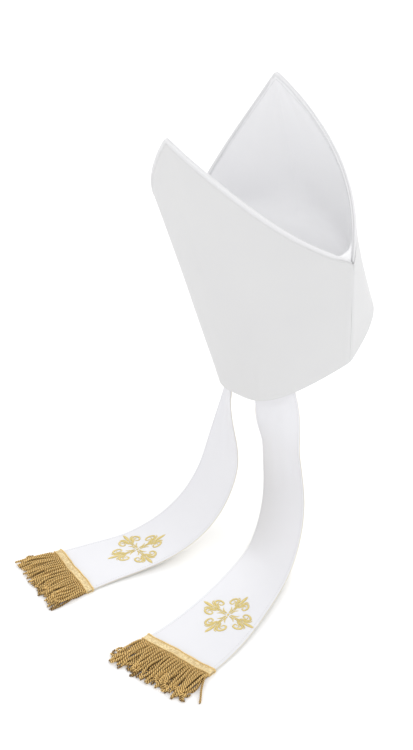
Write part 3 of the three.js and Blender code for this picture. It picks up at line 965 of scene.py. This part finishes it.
@dataclass(frozen=True)
class Gusset:
    """The cloth between the horns, a soft-bottomed valley from notch to notch."""

    reach: float = 0.995
    floor: float = 147 * MM
    half_floor: float = 58 * MM
    bend: float = 0.2
    tuck: float = 1.2
    bend_at: float = 0.36
    bridge_from: float = 0.87
    bridge_to: float = 0.965
    taper: float = 2.2
    slot: float = 1.5 * MM
    notch_drop: float = 6 * MM
    stitch_at: float = 0.984
    stitch_reach: float = 0.93
    row_spread: float = 0.85
    rows: int = 121
    columns: int = 241

    def rim(self, horn: Horn, q: Array) -> Array:
        """Return where the gusset meets a horn, tucked into its roll."""
        return horn.point(q, horn.edge_height(q, self.tuck * roll_radius(q)), self.inset)

    @property
    def inset(self) -> float:
        """The middle layer's distance inside a horn's outer face."""
        return PLAN.wall + PLAN.gap + PLAN.gusset_thick / 2

    def half(self, horn: Horn, u: Array, a: Array) -> Array:
        """Find points of the half of the valley that leans on one horn.

        From the valley's middle, a = 0, the floor runs flat to the bend and then climbs to the
        horn's edge at a = 1. The bend is a parabola where the two meet.

        Args:
            horn: The horn.
            u: -1 to 1 from notch to notch.
            a: 0 to 1 from the valley's middle to the horn's edge.

        Returns:
            The points.
        """
        q = u * self.reach
        edge = self.rim(horn, q)
        eased = ease(a - self.bend_at, self.bend)
        climb = np.clip(eased / (1 - self.bend_at), 0, 1)[..., None]
        flat = a - climb[..., 0] * (1 - self.bend_at)
        w = np.abs(q)
        notch_q = horn.point(q, np.full_like(q, PLAN.seam_height), self.inset)
        floor_z = lerp(self.floor, PLAN.seam_height - self.notch_drop, w**3)
        middle_y = PLAN.crest_shift * PLAN.seam_height / horn.height
        half_floor = self.half_floor * (1 - w**self.taper) + self.slot
        y = middle_y + horn.side * half_floor * np.minimum(1, flat / self.bend_at)
        upright_x = notch_q[..., 0]
        low = PLAN.lean(np.stack(np.broadcast_arrays(upright_x, y, floor_z), -1))
        return lerp(low, edge, climb)

    def middle(self, u: Array, v: Array) -> Array:
        """Find points of the gusset's middle layer.

        Args:
            u: -1 to 1 from notch to notch.
            v: -1 at the front edge to 1 at the back edge.

        Returns:
            The points, with the last stretch beside each notch spanning straight across.
        """
        a = np.abs(v)
        valley = np.where((v < 0)[..., None], self.half(FRONT, u, a), self.half(BACK, u, a))
        q = u * self.reach
        chord = lerp(self.rim(FRONT, q), self.rim(BACK, q), ((v + 1) / 2)[..., None])
        span = smooth((np.abs(u) - self.bridge_from) / (self.bridge_to - self.bridge_from))
        return lerp(valley, chord, span[..., None])

    def normal(self, u: Array, v: Array) -> Array:
        """Return directions square to the middle layer, up and into the valley."""
        d = 0.002
        du = self.middle(np.minimum(1, u + d), v) - self.middle(np.maximum(-1, u - d), v)
        dv = self.middle(u, np.minimum(1, v + d)) - self.middle(u, np.maximum(-1, v - d))
        return unit(np.cross(du, dv))

    def creases(self, u: Array, v: Array) -> Array:
        """Shape the cloth's soft creases, as distances into the valley.

        Short pleats fan out below each tip, where the cloth is gathered into the point, and
        long shallow folds and dents cross the walls.

        Args:
            u: -1 to 1 from notch to notch.
            v: -1 to 1 from front to back.

        Returns:
            Distances from the middle layer, never below 0.
        """
        down = (1 - np.abs(v)) * 165 * MM
        aside = u * 120 * MM
        far = np.hypot(down, aside)
        fan = np.arctan2(aside, down + 4 * MM)
        gathered = smooth(far / (9 * MM)) * raised(np.cos(7 * fan + 0.8))
        pleats = gathered * groove(far, (0.9 * MM, 0, 34 * MM))
        folds = raised(np.sin(9 * u + 4.2 * v + 0.6)) * groove(np.abs(v), (1.1 * MM, 0.62, 0.2))
        dents = raised(np.sin(4.3 * u - 7 * v)) * groove(np.abs(v), (0.7 * MM, 0.45, 0.25))
        inside = smooth((1 - np.abs(u)) / 0.2)
        return pleats + (folds + dents) * inside

    def surface(self, u: Array, v: Array, lift: float) -> Array:
        """Return points of the creased gusset, lifted off its middle layer."""
        return self.middle(u, v) + self.normal(u, v) * (self.creases(u, v) + lift)[..., None]

    def cloth(self) -> bpy.types.Object:
        """Make the gusset's cloth."""
        across = np.linspace(-1, 1, self.columns)
        rise = np.linspace(-1, 1, self.rows)
        v, u = np.meshgrid(spread(rise, self.row_spread), across, indexing="ij")
        upper = self.surface(u, v, PLAN.gusset_thick / 2)
        lower = self.surface(u, v, -PLAN.gusset_thick / 2)
        made = Surface.wall(upper, lower, cloth_uv(upper)).piece(
            "gusset_cloth", GUSSET_CLOTH_PAINTED_LIGHT, Slot.GUSSET, crease_deg=70
        )
        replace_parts(made, "gusset")
        declare_sheet(made, self.middle(u, v))
        return made

    def stitches(self) -> bpy.types.Object:
        """Make the stitching along both edges of the gusset."""
        rows = []
        for end in (-1, 1):
            u = np.linspace(-self.stitch_reach, self.stitch_reach, 700)
            v = np.full_like(u, end * self.stitch_at)
            path = self.surface(u, v, PLAN.gusset_thick / 2)
            rows.append(Stitching().along(path, self.normal(u, v)))
        return Surface.join(rows).piece("gusset_stitches", WHITE_THREAD, Slot.GUSSET)


# ---- lappets -------------------------------------------------------------------------


@dataclass(frozen=True)
class LappetPlan:
    """How one lappet hangs, lands and lies. Angles are in degrees."""

    name: str
    side: float
    inner: float
    outer: float
    length: float
    hang: float
    heading: float
    bow: float
    splay: float
    straight: float
    landed: float
    turned: float
    roll: float
    roll_at: float
    belly: float
    skew: float
    cross_aside: float


RIGHT_PLAN = LappetPlan(
    "right", side=-1, inner=0.31, outer=0.74, length=412 * MM, hang=-102, heading=3.5, bow=18,
    splay=2.1, straight=113 * MM, landed=274 * MM, turned=80 * MM, roll=0.18, roll_at=0.48,
    belly=4.3 * MM, skew=7, cross_aside=2.8 * MM,
)
LEFT_PLAN = LappetPlan(
    "left", side=1, inner=0.2, outer=0.77, length=344 * MM, hang=-85, heading=-4, bow=18.7,
    splay=10.9, straight=51 * MM, landed=331 * MM, turned=116 * MM, roll=-0.07, roll_at=0.83,
    belly=3.3 * MM, skew=0, cross_aside=0,
)
LAPPET_THICK = 1.6 * MM
LAPPET_END_WIDTH = 87 * MM
TUCK = 14 * MM
HUG = 8 * MM
BRAID_FROM = 3 * MM
BRAID_LONG = 9 * MM
BRAID_THICK = 4.2 * MM
BRAID_FOLD = 1.6 * MM
CLOTH_IN_FOLD = 2 * MM
RIM_CLEARANCE = 0.1 * MM
FRINGE_LONG = 48 * MM
SETTLE = 5 * MM
SKEW_FROM = 0.7
CROSS_AT = 75.5 * MM
CROSS_SIZE = 1.05
FLOOR_Z = float(min(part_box(f"{side}_fringe")[0].z for side in ("right", "left")))


class Ribbon:
    """The surface that a lappet's pieces lie on, from the rim down and out along the floor."""

    STEP = 2 * MM

    def __init__(self, plan: LappetPlan) -> None:
        """Work out the ribbon's stations.

        The middle line starts at the rim and turns smoothly from the hanging dip to level,
        while its heading bows out and back. Its fall is then scaled so that the end lies on
        the floor.

        Args:
            plan: How the lappet hangs.
        """
        self.plan = plan
        s = np.arange(0, plan.length + 90 * MM, self.STEP)
        ends = self.hang_point(np.array([-1.0, 1.0]), np.zeros(2))
        top_width = np.linalg.norm(ends[1] - ends[0])
        t = np.clip(s / plan.length, 0, 1)
        splay = np.radians(plan.splay + plan.skew * smooth((t - SKEW_FROM) / (1 - SKEW_FROM)))
        end_across = np.stack([plan.side * np.cos(splay), -np.sin(splay), 0 * splay], -1)
        land = smooth((s - plan.straight) / (plan.landed - plan.straight))
        dip = np.radians(plan.hang * (1 - land))
        heading = np.radians(lerp(plan.heading, plan.splay, t) + 4 * plan.bow * t * (1 - t))
        ahead = np.stack(
            [plan.side * np.cos(dip) * np.sin(heading), np.cos(dip) * np.cos(heading), np.sin(dip)], -1
        )
        across = lerp(unit(ends[1] - ends[0]), end_across, smooth(s / plan.turned)[:, None])
        across[:, 2] += plan.roll * np.sin(math.pi * t ** (math.log(0.5) / math.log(plan.roll_at)))
        self.across = unit(across)
        self.half = lerp(top_width, LAPPET_END_WIDTH, t) / 2 + 2 * plan.belly * t * (1 - t)
        steps = np.concatenate([np.zeros((1, 3)), np.cumsum(ahead[:-1] * self.STEP, axis=0)])
        self.centre = ends.mean(0) + steps
        last = round(plan.length / self.STEP)
        top, low = self.centre[0, 2], self.centre[last, 2]
        self.level = FLOOR_Z + BRAID_THICK / 2
        self.centre[:, 2] += (self.level - low) * (top - self.centre[:, 2]) / (top - low)
        self.end_half = float(self.half[last])

    def hang_point(self, across: Array, down: Array) -> Array:
        """Return points inside the back panel that the lappet's top follows."""
        q = self.plan.side * lerp(self.plan.inner, self.plan.outer, (across + 1) / 2)
        return BACK.point(q, -down, PLAN.wall + PLAN.gap + LAPPET_THICK / 2 + RIM_CLEARANCE)

    def flat(self, s: Array, across: Array) -> Array:
        """Find points of the ribbon before its waves, never sunk into the floor.

        Args:
            s: Distance down from the rim.
            across: -1 at the inner border to 1 at the outer border.

        Returns:
            The points, which follow the back panel near the rim and the stations below it.
        """
        s, across = np.broadcast_arrays(s, across)
        x = np.maximum(0, s) / self.STEP
        side = unit(cubic_at(self.across, x))
        half = cubic_at(self.half[:, None], x)
        free = cubic_at(self.centre, x) + side * across[..., None] * half
        free[..., 2] = self.level + ease(free[..., 2] - self.level, SETTLE) - ease(0, SETTLE)
        held = (1 - smooth(s / (2 * HUG)))[..., None]
        return lerp(free, self.hang_point(across, s), held)

    def normal(self, s: Array, across: Array) -> Array:
        """Return the way the ribbon's show side faces."""
        d = 1.5 * MM
        down = self.flat(s + d, across) - self.flat(s - d, across)
        over = self.flat(s, across + 0.02) - self.flat(s, across - 0.02)
        return unit(np.cross(over, down) * self.plan.side)

    def waves(self, s: Array, across: Array) -> Array:
        """Shape the cloth's long soft waves.

        Where the lappet hangs, narrow shallow folds run along it, and none moves its borders.
        Lower down they fade into a faint cross swell, and the cloth lies flat before the braid.

        Args:
            s: Distance down from the rim.
            across: -1 to 1.

        Returns:
            Distances off the flat ribbon.
        """
        t = s / self.plan.length
        inside = 1 - np.clip(np.abs(across), 0, 1) ** 4
        hanging = smooth(t / 0.06) * smooth((0.5 - t) / 0.3)
        lying = smooth(t / 0.3) * smooth((0.97 - t) / 0.1)
        folds = 0.3 * MM * np.sin(9 * across + 2 * t + self.plan.side) * hanging
        swell = 0.25 * MM * np.sin(TURN * s / (74 * MM) + 1.2 * across) * lying
        return (folds + swell) * inside

    def on(self, s: Array, across: Array, lift: Array) -> Array:
        """Find points on the waved ribbon.

        Args:
            s: Distance down from the rim.
            across: -1 to 1.
            lift: Distance off the middle layer, towards the show side.

        Returns:
            The points.
        """
        rise = np.asarray(lift + self.waves(s, across))
        return self.flat(s, across) + self.normal(s, across) * rise[..., None]


@dataclass(frozen=True)
class Stroke:
    """One run of satin stitch: a bent leaf that follows a curve.

    Its half width is w sin(pi t^k)^p along it, widest at the share `widest`, and its section
    is a low arch.
    """

    path: tuple
    half_width: float
    widest: float = 0.5
    power: float = 0.6
    height: float = 0.8
    stations: int = 40
    around: int = 9

    def lay(self, ribbon: Ribbon, turn: float, flip: float) -> Surface:
        """Sew the stroke onto a ribbon.

        Args:
            ribbon: The ribbon.
            turn: The angle of the cross's arm that it belongs to.
            flip: -1 to mirror it about the arm, else 1.

        Returns:
            The stroke's surface.
        """
        line = through(CROSS_SIZE * np.array(self.path, float) * [1, flip], self.stations)
        ahead = unit(np.gradient(line, axis=0))
        aside = np.stack([-ahead[:, 1], ahead[:, 0]], -1)
        t = np.linspace(0.012, 0.988, self.stations)
        leaf = np.sin(math.pi * t ** (math.log(0.5) / math.log(self.widest))) ** self.power
        angle = np.linspace(0, math.pi, self.around)
        spread = (self.half_width * leaf)[:, None] * np.cos(angle)
        flat = line[:, None] + aside[:, None] * spread[..., None]
        c, s = math.cos(turn), math.sin(turn)
        x = (flat[..., 0] * c - flat[..., 1] * s) * MM
        y = (flat[..., 0] * s + flat[..., 1] * c) * MM
        y = y + ribbon.plan.cross_aside - x * math.tan(math.radians(ribbon.plan.skew))
        rise = self.height * (leaf**0.8)[:, None] * np.sin(angle)
        lift = LAPPET_THICK / 2 - 0.05 * MM + rise * MM
        rings = ribbon.on(ribbon.plan.length - CROSS_AT + x, y / ribbon.end_half, lift)
        run = run_length(line, 0)[None] * MM
        around = np.append(np.linspace(0, 1, self.around), 1.0)
        return Surface.tubes(rings[None], run, around)


ARM_MIDDLE = (Stroke(((19.6, 0), (27, 0.1), (36.5, 0)), 2.1, widest=0.55, power=0.55, height=0.9),)
ARM_SIDES = (
    Stroke(((2.4, 1.0), (5.4, 1.4), (9.4, 0.8)), 1.1, power=0.5),
    Stroke(((6.3, 2), (9.6, 3.1), (12.2, 6)), 0.85, widest=0.35, power=0.7, height=0.6),
    Stroke(((9, 0.8), (14, 0.9), (20.6, 0.8)), 0.85, power=0.35, height=0.7),
    Stroke(
        ((14.4, 1.7), (18, 2.7), (22, 4.2), (25.4, 6.4), (25.7, 9.2), (22.6, 11.7),
         (18.9, 12.1), (16.1, 10.8), (15.7, 8.4), (17.2, 6.8), (19.6, 7.3)),
        1.35, power=0.4, height=0.85,
    ),
    Stroke(((15, 3), (18.6, 4.5), (21.1, 6.4), (21.9, 8.6), (20.8, 10)), 0.9, power=0.5, height=0.7),
    Stroke(((19.8, 1.8), (24, 3), (27.8, 5.2), (28.6, 8.4)), 1.05, power=0.5, height=0.65),
)
CENTRE_KNOT = Stroke(((-1.5, 0), (0, 0), (1.5, 0)), 1.5, power=0.3, height=0.9, stations=16)


class Layer(Enum):
    """The three layers of fringe: how many cords, their rest height and their hump."""

    LOW = (42, 0.0, 0.2)
    MIDDLE = (34, 1.9, 0.9)
    TOP = (22, 3.2, 2.0)


@dataclass(frozen=True)
class Fringe:
    """Twisted gold cords that fan out from the braid and lie on the floor in layers."""

    ribbon: Ribbon
    seed: int
    lean_deg: float
    stray: bool
    clump: float
    curled: float
    ply_radius: float = 0.68 * MM
    ply_apart: float = 0.68 * MM
    lay: float = 5.4 * MM
    stations: int = 86
    around: int = 5
    flare_deg: float = 9
    clump_deg: float = 11
    sway: float = 0.34
    stray_deg: tuple = (17, 34)
    long_share: tuple = (0.88, 1.05)
    curl: tuple = (1.4, 3.6)
    curl_from: tuple = (0.55, 0.85)

    def lines(self, layer: Layer, rng: np.random.Generator) -> tuple[Array, Array]:
        """Draw the middle lines of one layer's cords.

        A cord starts under the braid at its own place across and steers by a heading that is
        the sum of the fringe's lean, a flare towards the nearer corner, a pull towards its
        clump, a slow sway and a curl in its last few millimetres.

        Args:
            layer: The layer.
            rng: The source of its unevenness.

        Returns:
            The lines, cords by stations by 3, and how deep each cord lies, 0 to 1.
        """
        count, rest, rise = layer.value
        x = np.linspace(-0.985, 0.985, count) + rng.uniform(-0.35, 0.35, count) / count
        long = FRINGE_LONG * rng.uniform(*self.long_share, count)
        straying = np.zeros(count, bool)
        if self.stray and layer is Layer.MIDDLE:
            straying[-len(self.stray_deg):] = True
        t = np.linspace(0, 1, self.stations)[None]
        gathered = self.clump * (0.3 if layer is Layer.LOW else 1)
        clump = gathered * (np.sin(x * 11 + self.seed) + np.sin(x * 23 + 2.1 * self.seed))
        own = self.flare_deg * x + self.clump_deg * clump + rng.normal(0, 3, count)
        strays = np.array(self.stray_deg)[np.arange(count) % len(self.stray_deg)]
        flare = np.radians(np.where(straying, strays, self.lean_deg + own))
        sway = rng.normal(0, self.sway, count)[:, None] * np.sin(TURN * (1.2 * t + rng.random((count, 1))))
        curls = (rng.random(count) < self.curled) & ~straying
        curl = np.where(curls, rng.choice([-1, 1], count) * rng.uniform(*self.curl, count), 0)
        curl_from = rng.uniform(*self.curl_from, (count, 1))
        bend = curl[:, None] * smooth((t - curl_from) / (1 - curl_from))
        heading = flare[:, None] * smooth(t / 0.25) + sway * t + bend
        step = (long / (self.stations - 1))[:, None]
        ahead = np.cumsum(np.cos(heading) * step, 1) - step
        aside = np.cumsum(np.sin(heading) * step, 1)
        start = self.ribbon.plan.length + BRAID_FROM + BRAID_LONG - BRAID_FOLD
        half = self.ribbon.end_half
        across = x[:, None] + aside / half
        radius = self.ply_radius + self.ply_apart
        floor_lift = radius - BRAID_THICK / 2
        bow = np.sin(math.pi * np.minimum(1, 0.12 + 0.8 * t))
        hump_up = rise * MM * bow * rng.uniform(0.6, 1.25, (count, 1))
        height = floor_lift + rest * MM * (1 - 0.55 * smooth((t - 0.5) / 0.5)) + hump_up
        settle = smooth(t / 0.16)
        lift = lerp(0.2 * MM * rest, height, settle)
        points = self.ribbon.flat(start + ahead, across)
        points[..., 2] += lift
        # Deeper layers get a higher tone, painted shade under the cords above, with a small random spread.
        tone = np.clip((2.6 - rest) / 5.2 + rng.normal(0, 0.1, count), 0, 0.75)
        return points, tone

    def cords(self, lines: Array, tone: Array, rng: np.random.Generator) -> Surface:
        """Twist two plies round each line.

        Each ply is a round rod whose middle circles the line once every lay, opposite the
        other ply.

        Args:
            lines: Middle lines, cords by stations by 3.
            tone: How deep each cord lies.
            rng: The source of the starting angles.

        Returns:
            Every ply as one surface.
        """
        run = run_length(lines, 1)
        ahead = unit(np.gradient(lines, axis=1))
        upright = np.array([0, 0, 1.0])
        side = unit(np.cross(ahead, upright))
        up = np.cross(side, ahead)
        start = rng.uniform(0, TURN, (len(lines), 1))
        plies = []
        angle = np.linspace(-math.pi, math.pi, self.around, endpoint=False)[:, None]
        for turn in (0, math.pi):
            phase = (TURN * run / self.lay + start + turn)[..., None]
            out = side * np.cos(phase) + up * np.sin(phase)
            middle = lines + out * self.ply_apart
            over = unit(np.cross(unit(np.gradient(middle, axis=1)), out))
            taper = np.ones(self.stations)
            taper[-3:] = (0.95, 0.8, 0.45)
            taper[0] = 0.7
            radius = (self.ply_radius * taper)[None, :, None, None]
            rings = rings_round(middle, out, over, radius, angle)
            plies.append(Surface.tubes(rings, run, np.linspace(0, 1, self.around + 1), tone))
        return Surface.join(plies)

    def piece(self) -> bpy.types.Object:
        """Make the whole fringe."""
        rng = np.random.default_rng(self.seed)
        layers = [self.cords(*self.lines(layer, rng), rng) for layer in Layer]
        name = self.ribbon.plan.name
        made = Surface.join(layers).piece(f"{name}_fringe_cords", FRINGE_GOLD, Slot.FRINGE, crease_deg=80)
        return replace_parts(made, f"{name}_fringe")


@dataclass(frozen=True)
class Braid:
    """Gold braid folded over the lappet's end, with a twisted cord along each long edge.

    A cord is its place below the band's top edge, its ply's radius, its scallop and its lay.
    """

    ribbon: Ribbon
    columns: int = 321
    plait: float = 1.9 * MM
    plait_high: float = 0.34 * MM
    overhang: float = 1.02
    scallop_pitch: float = 2.6 * MM
    top_cord: tuple = (0.2 * MM, 0.6 * MM, 0.5 * MM, 5.2 * MM)
    low_cord: tuple = (8.2 * MM, 0.45 * MM, 0, 3.4 * MM)

    def wander(self, across: Array) -> Array:
        """Return how far the hand-sewn braid strays along the lappet."""
        return 0.5 * MM * np.sin(5.2 * across + self.ribbon.plan.side) + 0.25 * MM * np.sin(13 * across)

    def band(self) -> Surface:
        """Make the folded band.

        Its section runs down the show side, round the fold and back up behind. The outer face
        carries a plait of slanting ridges, |sin(pi (x / p +- y / p))|, whose slant turns over
        halfway down.

        Returns:
            The band.
        """
        down = np.linspace(0, BRAID_LONG - BRAID_FOLD, 19)
        fold = np.linspace(math.pi / 2, -math.pi / 2, 9)[1:-1]
        reach = BRAID_THICK / 2
        s = np.concatenate([down, down[-1] + BRAID_FOLD * np.cos(fold), down[::-3]])
        z = np.concatenate([np.full(19, reach), reach * np.sin(fold), np.full(len(down[::-3]), -reach)])
        clear = LAPPET_THICK / 2 + 0.2 * MM
        inner_z = np.clip(z, -clear, clear)
        inner_s = np.minimum(s, down[-1])
        across = np.linspace(-self.overhang, self.overhang, self.columns)
        x = across * self.ribbon.end_half
        slant = np.where(s < BRAID_LONG * 0.5, 1, -1)[:, None]
        ridge = np.abs(np.sin(math.pi * (x[None] + slant * s[:, None]) / self.plait))
        proud = self.plait_high * ridge * (np.abs(z) > reach * 0.7)[:, None] - 0.1 * MM
        start = self.ribbon.plan.length + BRAID_FROM + self.wander(across)[None]
        facing = np.sign(z)[:, None] * smooth(np.abs(z) / reach)[:, None]
        outer = self.ribbon.on(start + s[:, None], across[None], z[:, None] + facing * proud)
        inner = self.ribbon.on(start + inner_s[:, None], across[None], inner_z[:, None] + 0 * x)
        return Surface.wall(outer, inner, cloth_uv(outer))

    def cord(self, down: float, radius: float, scallop: float, lay: float) -> Surface:
        """Make a two-ply cord along the band.

        The line crosses the show side, its ends wrap down over the band's two sides, and it
        swings by the scallop once every scallop pitch.

        Args:
            down: Distance from the band's top edge.
            radius: The radius of one ply.
            scallop: How far the line swings.
            lay: The length in which the plies turn once.

        Returns:
            The cord.
        """
        wrap = np.linspace(0, 1, 14)[1:]
        flat = np.linspace(-1, 1, 560)
        t = np.concatenate([-1 - wrap[::-1], flat, 1 + wrap])
        across = np.clip(t, -1, 1) * self.overhang
        past = np.clip(np.abs(t) - 1, 0, 1)
        bulge = np.sign(t) * 0.8 * MM * np.sin(math.pi * past) / self.ribbon.end_half
        lift = BRAID_THICK / 2 + 0.1 * MM - past * (BRAID_THICK - 1.2 * MM)
        x = across * self.ribbon.end_half
        s = self.ribbon.plan.length + BRAID_FROM + self.wander(across) + down
        s = s - scallop * np.abs(np.sin(math.pi * x / self.scallop_pitch))
        line = self.ribbon.on(s, across + bulge, lift)[None]
        run = run_length(line, 1)
        ahead = unit(np.gradient(line, axis=1))
        up = self.ribbon.normal(s, across)[None]
        side = unit(np.cross(ahead, up))
        up = np.cross(side, ahead)
        angle = np.linspace(-math.pi, math.pi, 7)[:-1, None]
        plies = []
        for turn in (0, math.pi):
            phase = (TURN * run / lay + turn)[..., None]
            out = side * np.cos(phase) + up * np.sin(phase)
            middle = line + out * radius * 0.8
            over = np.cross(ahead, out)
            rings = rings_round(middle, out, over, radius, angle)
            plies.append(Surface.tubes(rings, run, np.linspace(0, 1, 7)))
        return Surface.join(plies)

    def pieces(self) -> list[bpy.types.Object]:
        """Make the band and its cords."""
        name = self.ribbon.plan.name
        band = self.band().piece(f"{name}_braid_band", BRAID_GOLD, Slot.BRAID, crease_deg=80)
        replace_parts(band, f"{name}_braid")
        cords = Surface.join([self.cord(*self.top_cord), self.cord(*self.low_cord)])
        return [band, cords.piece(f"{name}_braid_cords", CORD_GOLD, Slot.BRAID, crease_deg=80)]


@dataclass(frozen=True)
class Lappet:
    """One lappet: its show cloth, its lining, its stitching, its cross, braid and fringe."""

    ribbon: Ribbon
    fringe: Fringe
    show_reach: float = 0.985
    lining_reach: float = 1.0
    stitch_in: float = 3.2 * MM
    sewn: tuple = (0.16 * MM, stitch_in, 0.6 * MM)
    border_round: float = 0.7 * MM

    def layer(self, reach: float, low: float, high: float, end: float) -> tuple[Surface, Array]:
        """Make one layer of cloth with rounded borders.

        Args:
            reach: How far it reaches across, 1 for the lappet's own half width.
            low: Lift of its underside.
            high: Lift of its show side.
            end: Where it stops.

        Returns:
            The layer, and the points of its middle.
        """
        s = np.linspace(-TUCK, end, 300)[:, None]
        u = np.linspace(-1, 1, 73)[None]
        across = np.sign(u) * (1 - (1 - np.abs(u)) ** 1.5) * reach
        from_side = (reach - np.abs(across)) * self.ribbon.end_half
        middle = (low + high) / 2
        near = 1 - np.minimum(1, from_side / self.border_round)
        half = (high - low) / 2 * np.sqrt(np.clip(1 - near**2, 0.02, 1))
        sewn = groove(from_side, self.sewn)
        top = self.ribbon.on(s, across, middle + half - sewn)
        bottom = self.ribbon.on(s, across, middle - half + 0 * s)
        return Surface.wall(top, bottom, cloth_uv(top)), self.ribbon.on(s, across, middle + 0 * s)

    def cross(self) -> bpy.types.Object:
        """Make the embroidered cross: four alike arms round a knot."""
        strokes = [CENTRE_KNOT.lay(self.ribbon, 0, 1)]
        for arm in range(4):
            turn = arm * math.pi / 2
            strokes += [stroke.lay(self.ribbon, turn, 1) for stroke in ARM_MIDDLE]
            strokes += [stroke.lay(self.ribbon, turn, flip) for stroke in ARM_SIDES for flip in (-1, 1)]
        name = self.ribbon.plan.name
        made = Surface.join(strokes).piece(f"{name}_cross_embroidery", SATIN_GOLD, Slot.CROSS, crease_deg=80)
        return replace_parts(made, f"{name}_cross")

    def stitches(self) -> bpy.types.Object:
        """Make the stitching along both long borders."""
        s = np.linspace(2 * MM, self.ribbon.plan.length, 900)
        rows = []
        for border in (-1, 1):
            across = np.full_like(s, border * (self.show_reach - self.stitch_in / self.ribbon.end_half))
            path = self.ribbon.on(s, across, LAPPET_THICK / 2 - 0.12 * MM)
            rows.append(Stitching(radius=0.17 * MM).along(path, self.ribbon.normal(s, across)))
        name = f"{self.ribbon.plan.name}_lappet_stitches"
        return Surface.join(rows).piece(name, WHITE_THREAD, Slot.LAPPET)

    def build(self) -> None:
        """Make all the lappet's pieces and log the flat sizes of its two sheets."""
        name = self.ribbon.plan.name
        end = self.ribbon.plan.length + BRAID_FROM + BRAID_LONG - CLOTH_IN_FOLD
        show, show_middle = self.layer(self.show_reach, -0.1 * MM, LAPPET_THICK / 2, end)
        lining, lining_middle = self.layer(self.lining_reach, -LAPPET_THICK / 2, -0.15 * MM, end)
        cloth = show.piece(f"{name}_lappet_cloth", LAPPET_CLOTH, Slot.LAPPET, crease_deg=75)
        back = lining.piece(f"{name}_lappet_lining", LINING_CLOTH, Slot.LAPPET, crease_deg=75)
        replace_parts(cloth, f"{name}_lappet")
        extras = (self.cross(), self.stitches(), *Braid(self.ribbon).pieces(), self.fringe.piece())
        declare_sheet(cloth, show_middle)
        declare_sheet(back, lining_middle)


# ---- studio --------------------------------------------------------------------------


class Lamp(Enum):
    """The broad lights: degrees from +X towards +Y, degrees above level, and strength."""

    LEFT_BEHIND = (60.4, 25, 0.39)
    CAMERA_SIDE = (130.4, 31, 0.6)
    RIGHT_SIDE = (200.4, 50, 0.78)
    FRONT_LEFT = (310.4, 25, 1.35)


@dataclass(frozen=True)
class Studio:
    """A plain white table under soft light, and the camera."""

    place: tuple = (-0.6558, 0.7719, 0.4377)
    heading_deg: float = 46.587
    dip_deg: float = 25.469
    lens: float = 44.727
    table_size: float = 60
    table_light: tuple = linear(240, 240, 240)
    table_shade: tuple = linear(236, 236, 237)
    sky: float = 0.94
    softness_deg: float = 50

    def camera(self) -> None:
        """Set up the camera, level from side to side."""
        data = bpy.data.cameras.new("camera")
        data.lens = self.lens
        data.sensor_width = 36
        made = bpy.data.objects.new("camera", data)
        heading, dip = math.radians(self.heading_deg), math.radians(self.dip_deg)
        sight = Vector(
            (math.sin(heading) * math.cos(dip), -math.cos(heading) * math.cos(dip), -math.sin(dip))
        )
        made.rotation_mode = "QUATERNION"
        made.rotation_quaternion = sight.to_track_quat("-Z", "Y")
        made.location = self.place
        bpy.context.scene.collection.objects.link(made)
        bpy.context.scene.camera = made

    def table(self) -> None:
        """Lay a plain white table top under the lappets."""
        half = self.table_size / 2
        corners = [(x * half, y * half, FLOOR_Z) for x, y in ((-1, -1), (1, -1), (1, 1), (-1, 1))]
        mesh = bpy.data.meshes.new("table_top")
        mesh.from_pydata(corners, [], [(0, 1, 2, 3)])
        finish = bpy.data.materials.new("matte_white_table")
        finish.use_nodes = True
        graph = Graph(finish.node_tree)
        shader = finish.node_tree.nodes["Principled BSDF"]
        tone = graph.group(drift_group(), {"Scale": 3.0})
        shade = graph.math("MULTIPLY", tone.outputs["Drift"], 0.2)
        graph.feed(shader.inputs["Base Color"], graph.blend(shade, self.table_light, self.table_shade))
        shader.inputs["Roughness"].default_value = 0.9
        shader.inputs["Specular IOR Level"].default_value = 0.1
        mesh.materials.append(finish)
        made = bpy.data.objects.new("table_top", mesh)
        bpy.context.scene.collection.objects.link(made)

    def lights(self) -> None:
        """Light the scene with four broad soft lights and an even sky that looks plain white."""
        scene = bpy.context.scene
        world = bpy.data.worlds.new("white_room")
        world.use_nodes = True
        sky = world.node_tree.nodes["Background"]
        sky.inputs["Color"].default_value = (1, 1, 1, 1)
        graph = Graph(world.node_tree)
        seen = graph.add("LightPath").outputs["Is Camera Ray"]
        graph.feed(sky.inputs["Strength"], graph.math("MAXIMUM", seen, self.sky))
        scene.world = world
        for lamp in Lamp:
            turned, raised = (math.radians(value) for value in lamp.value[:2])
            data = bpy.data.lights.new(lamp.name.lower(), "SUN")
            data.energy = lamp.value[2]
            data.angle = math.radians(self.softness_deg)
            made = bpy.data.objects.new(lamp.name.lower(), data)
            level = math.cos(raised)
            place = Vector((math.cos(turned) * level, math.sin(turned) * level, math.sin(raised)))
            made.rotation_mode = "QUATERNION"
            made.rotation_quaternion = (-place).to_track_quat("-Z", "Y")
            scene.collection.objects.link(made)
        scene.view_settings.view_transform = "Standard"

    def build(self) -> None:
        """Make the camera, the table and the lights."""
        self.camera()
        self.table()
        self.lights()


def main() -> None:
    """Build the mitre piece by piece."""
    logging.basicConfig(level=logging.INFO, format="%(name)s: %(message)s", stream=sys.stdout)
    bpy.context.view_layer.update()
    Studio().build()
    for work in (HornWork(BACK, seed=0.4), HornWork(FRONT, seed=2.1)):
        work.roll()
        work.panel()
        work.stitches()
    gusset = Gusset()
    gusset.cloth()
    gusset.stitches()
    right, left = Ribbon(RIGHT_PLAN), Ribbon(LEFT_PLAN)
    Lappet(right, Fringe(right, seed=7, lean_deg=2, stray=True, clump=0.16, curled=0.6)).build()
    Lappet(left, Fringe(left, seed=12, lean_deg=0, stray=False, clump=0.14, curled=0.3)).build()


if __name__ == "__main__":
    main()
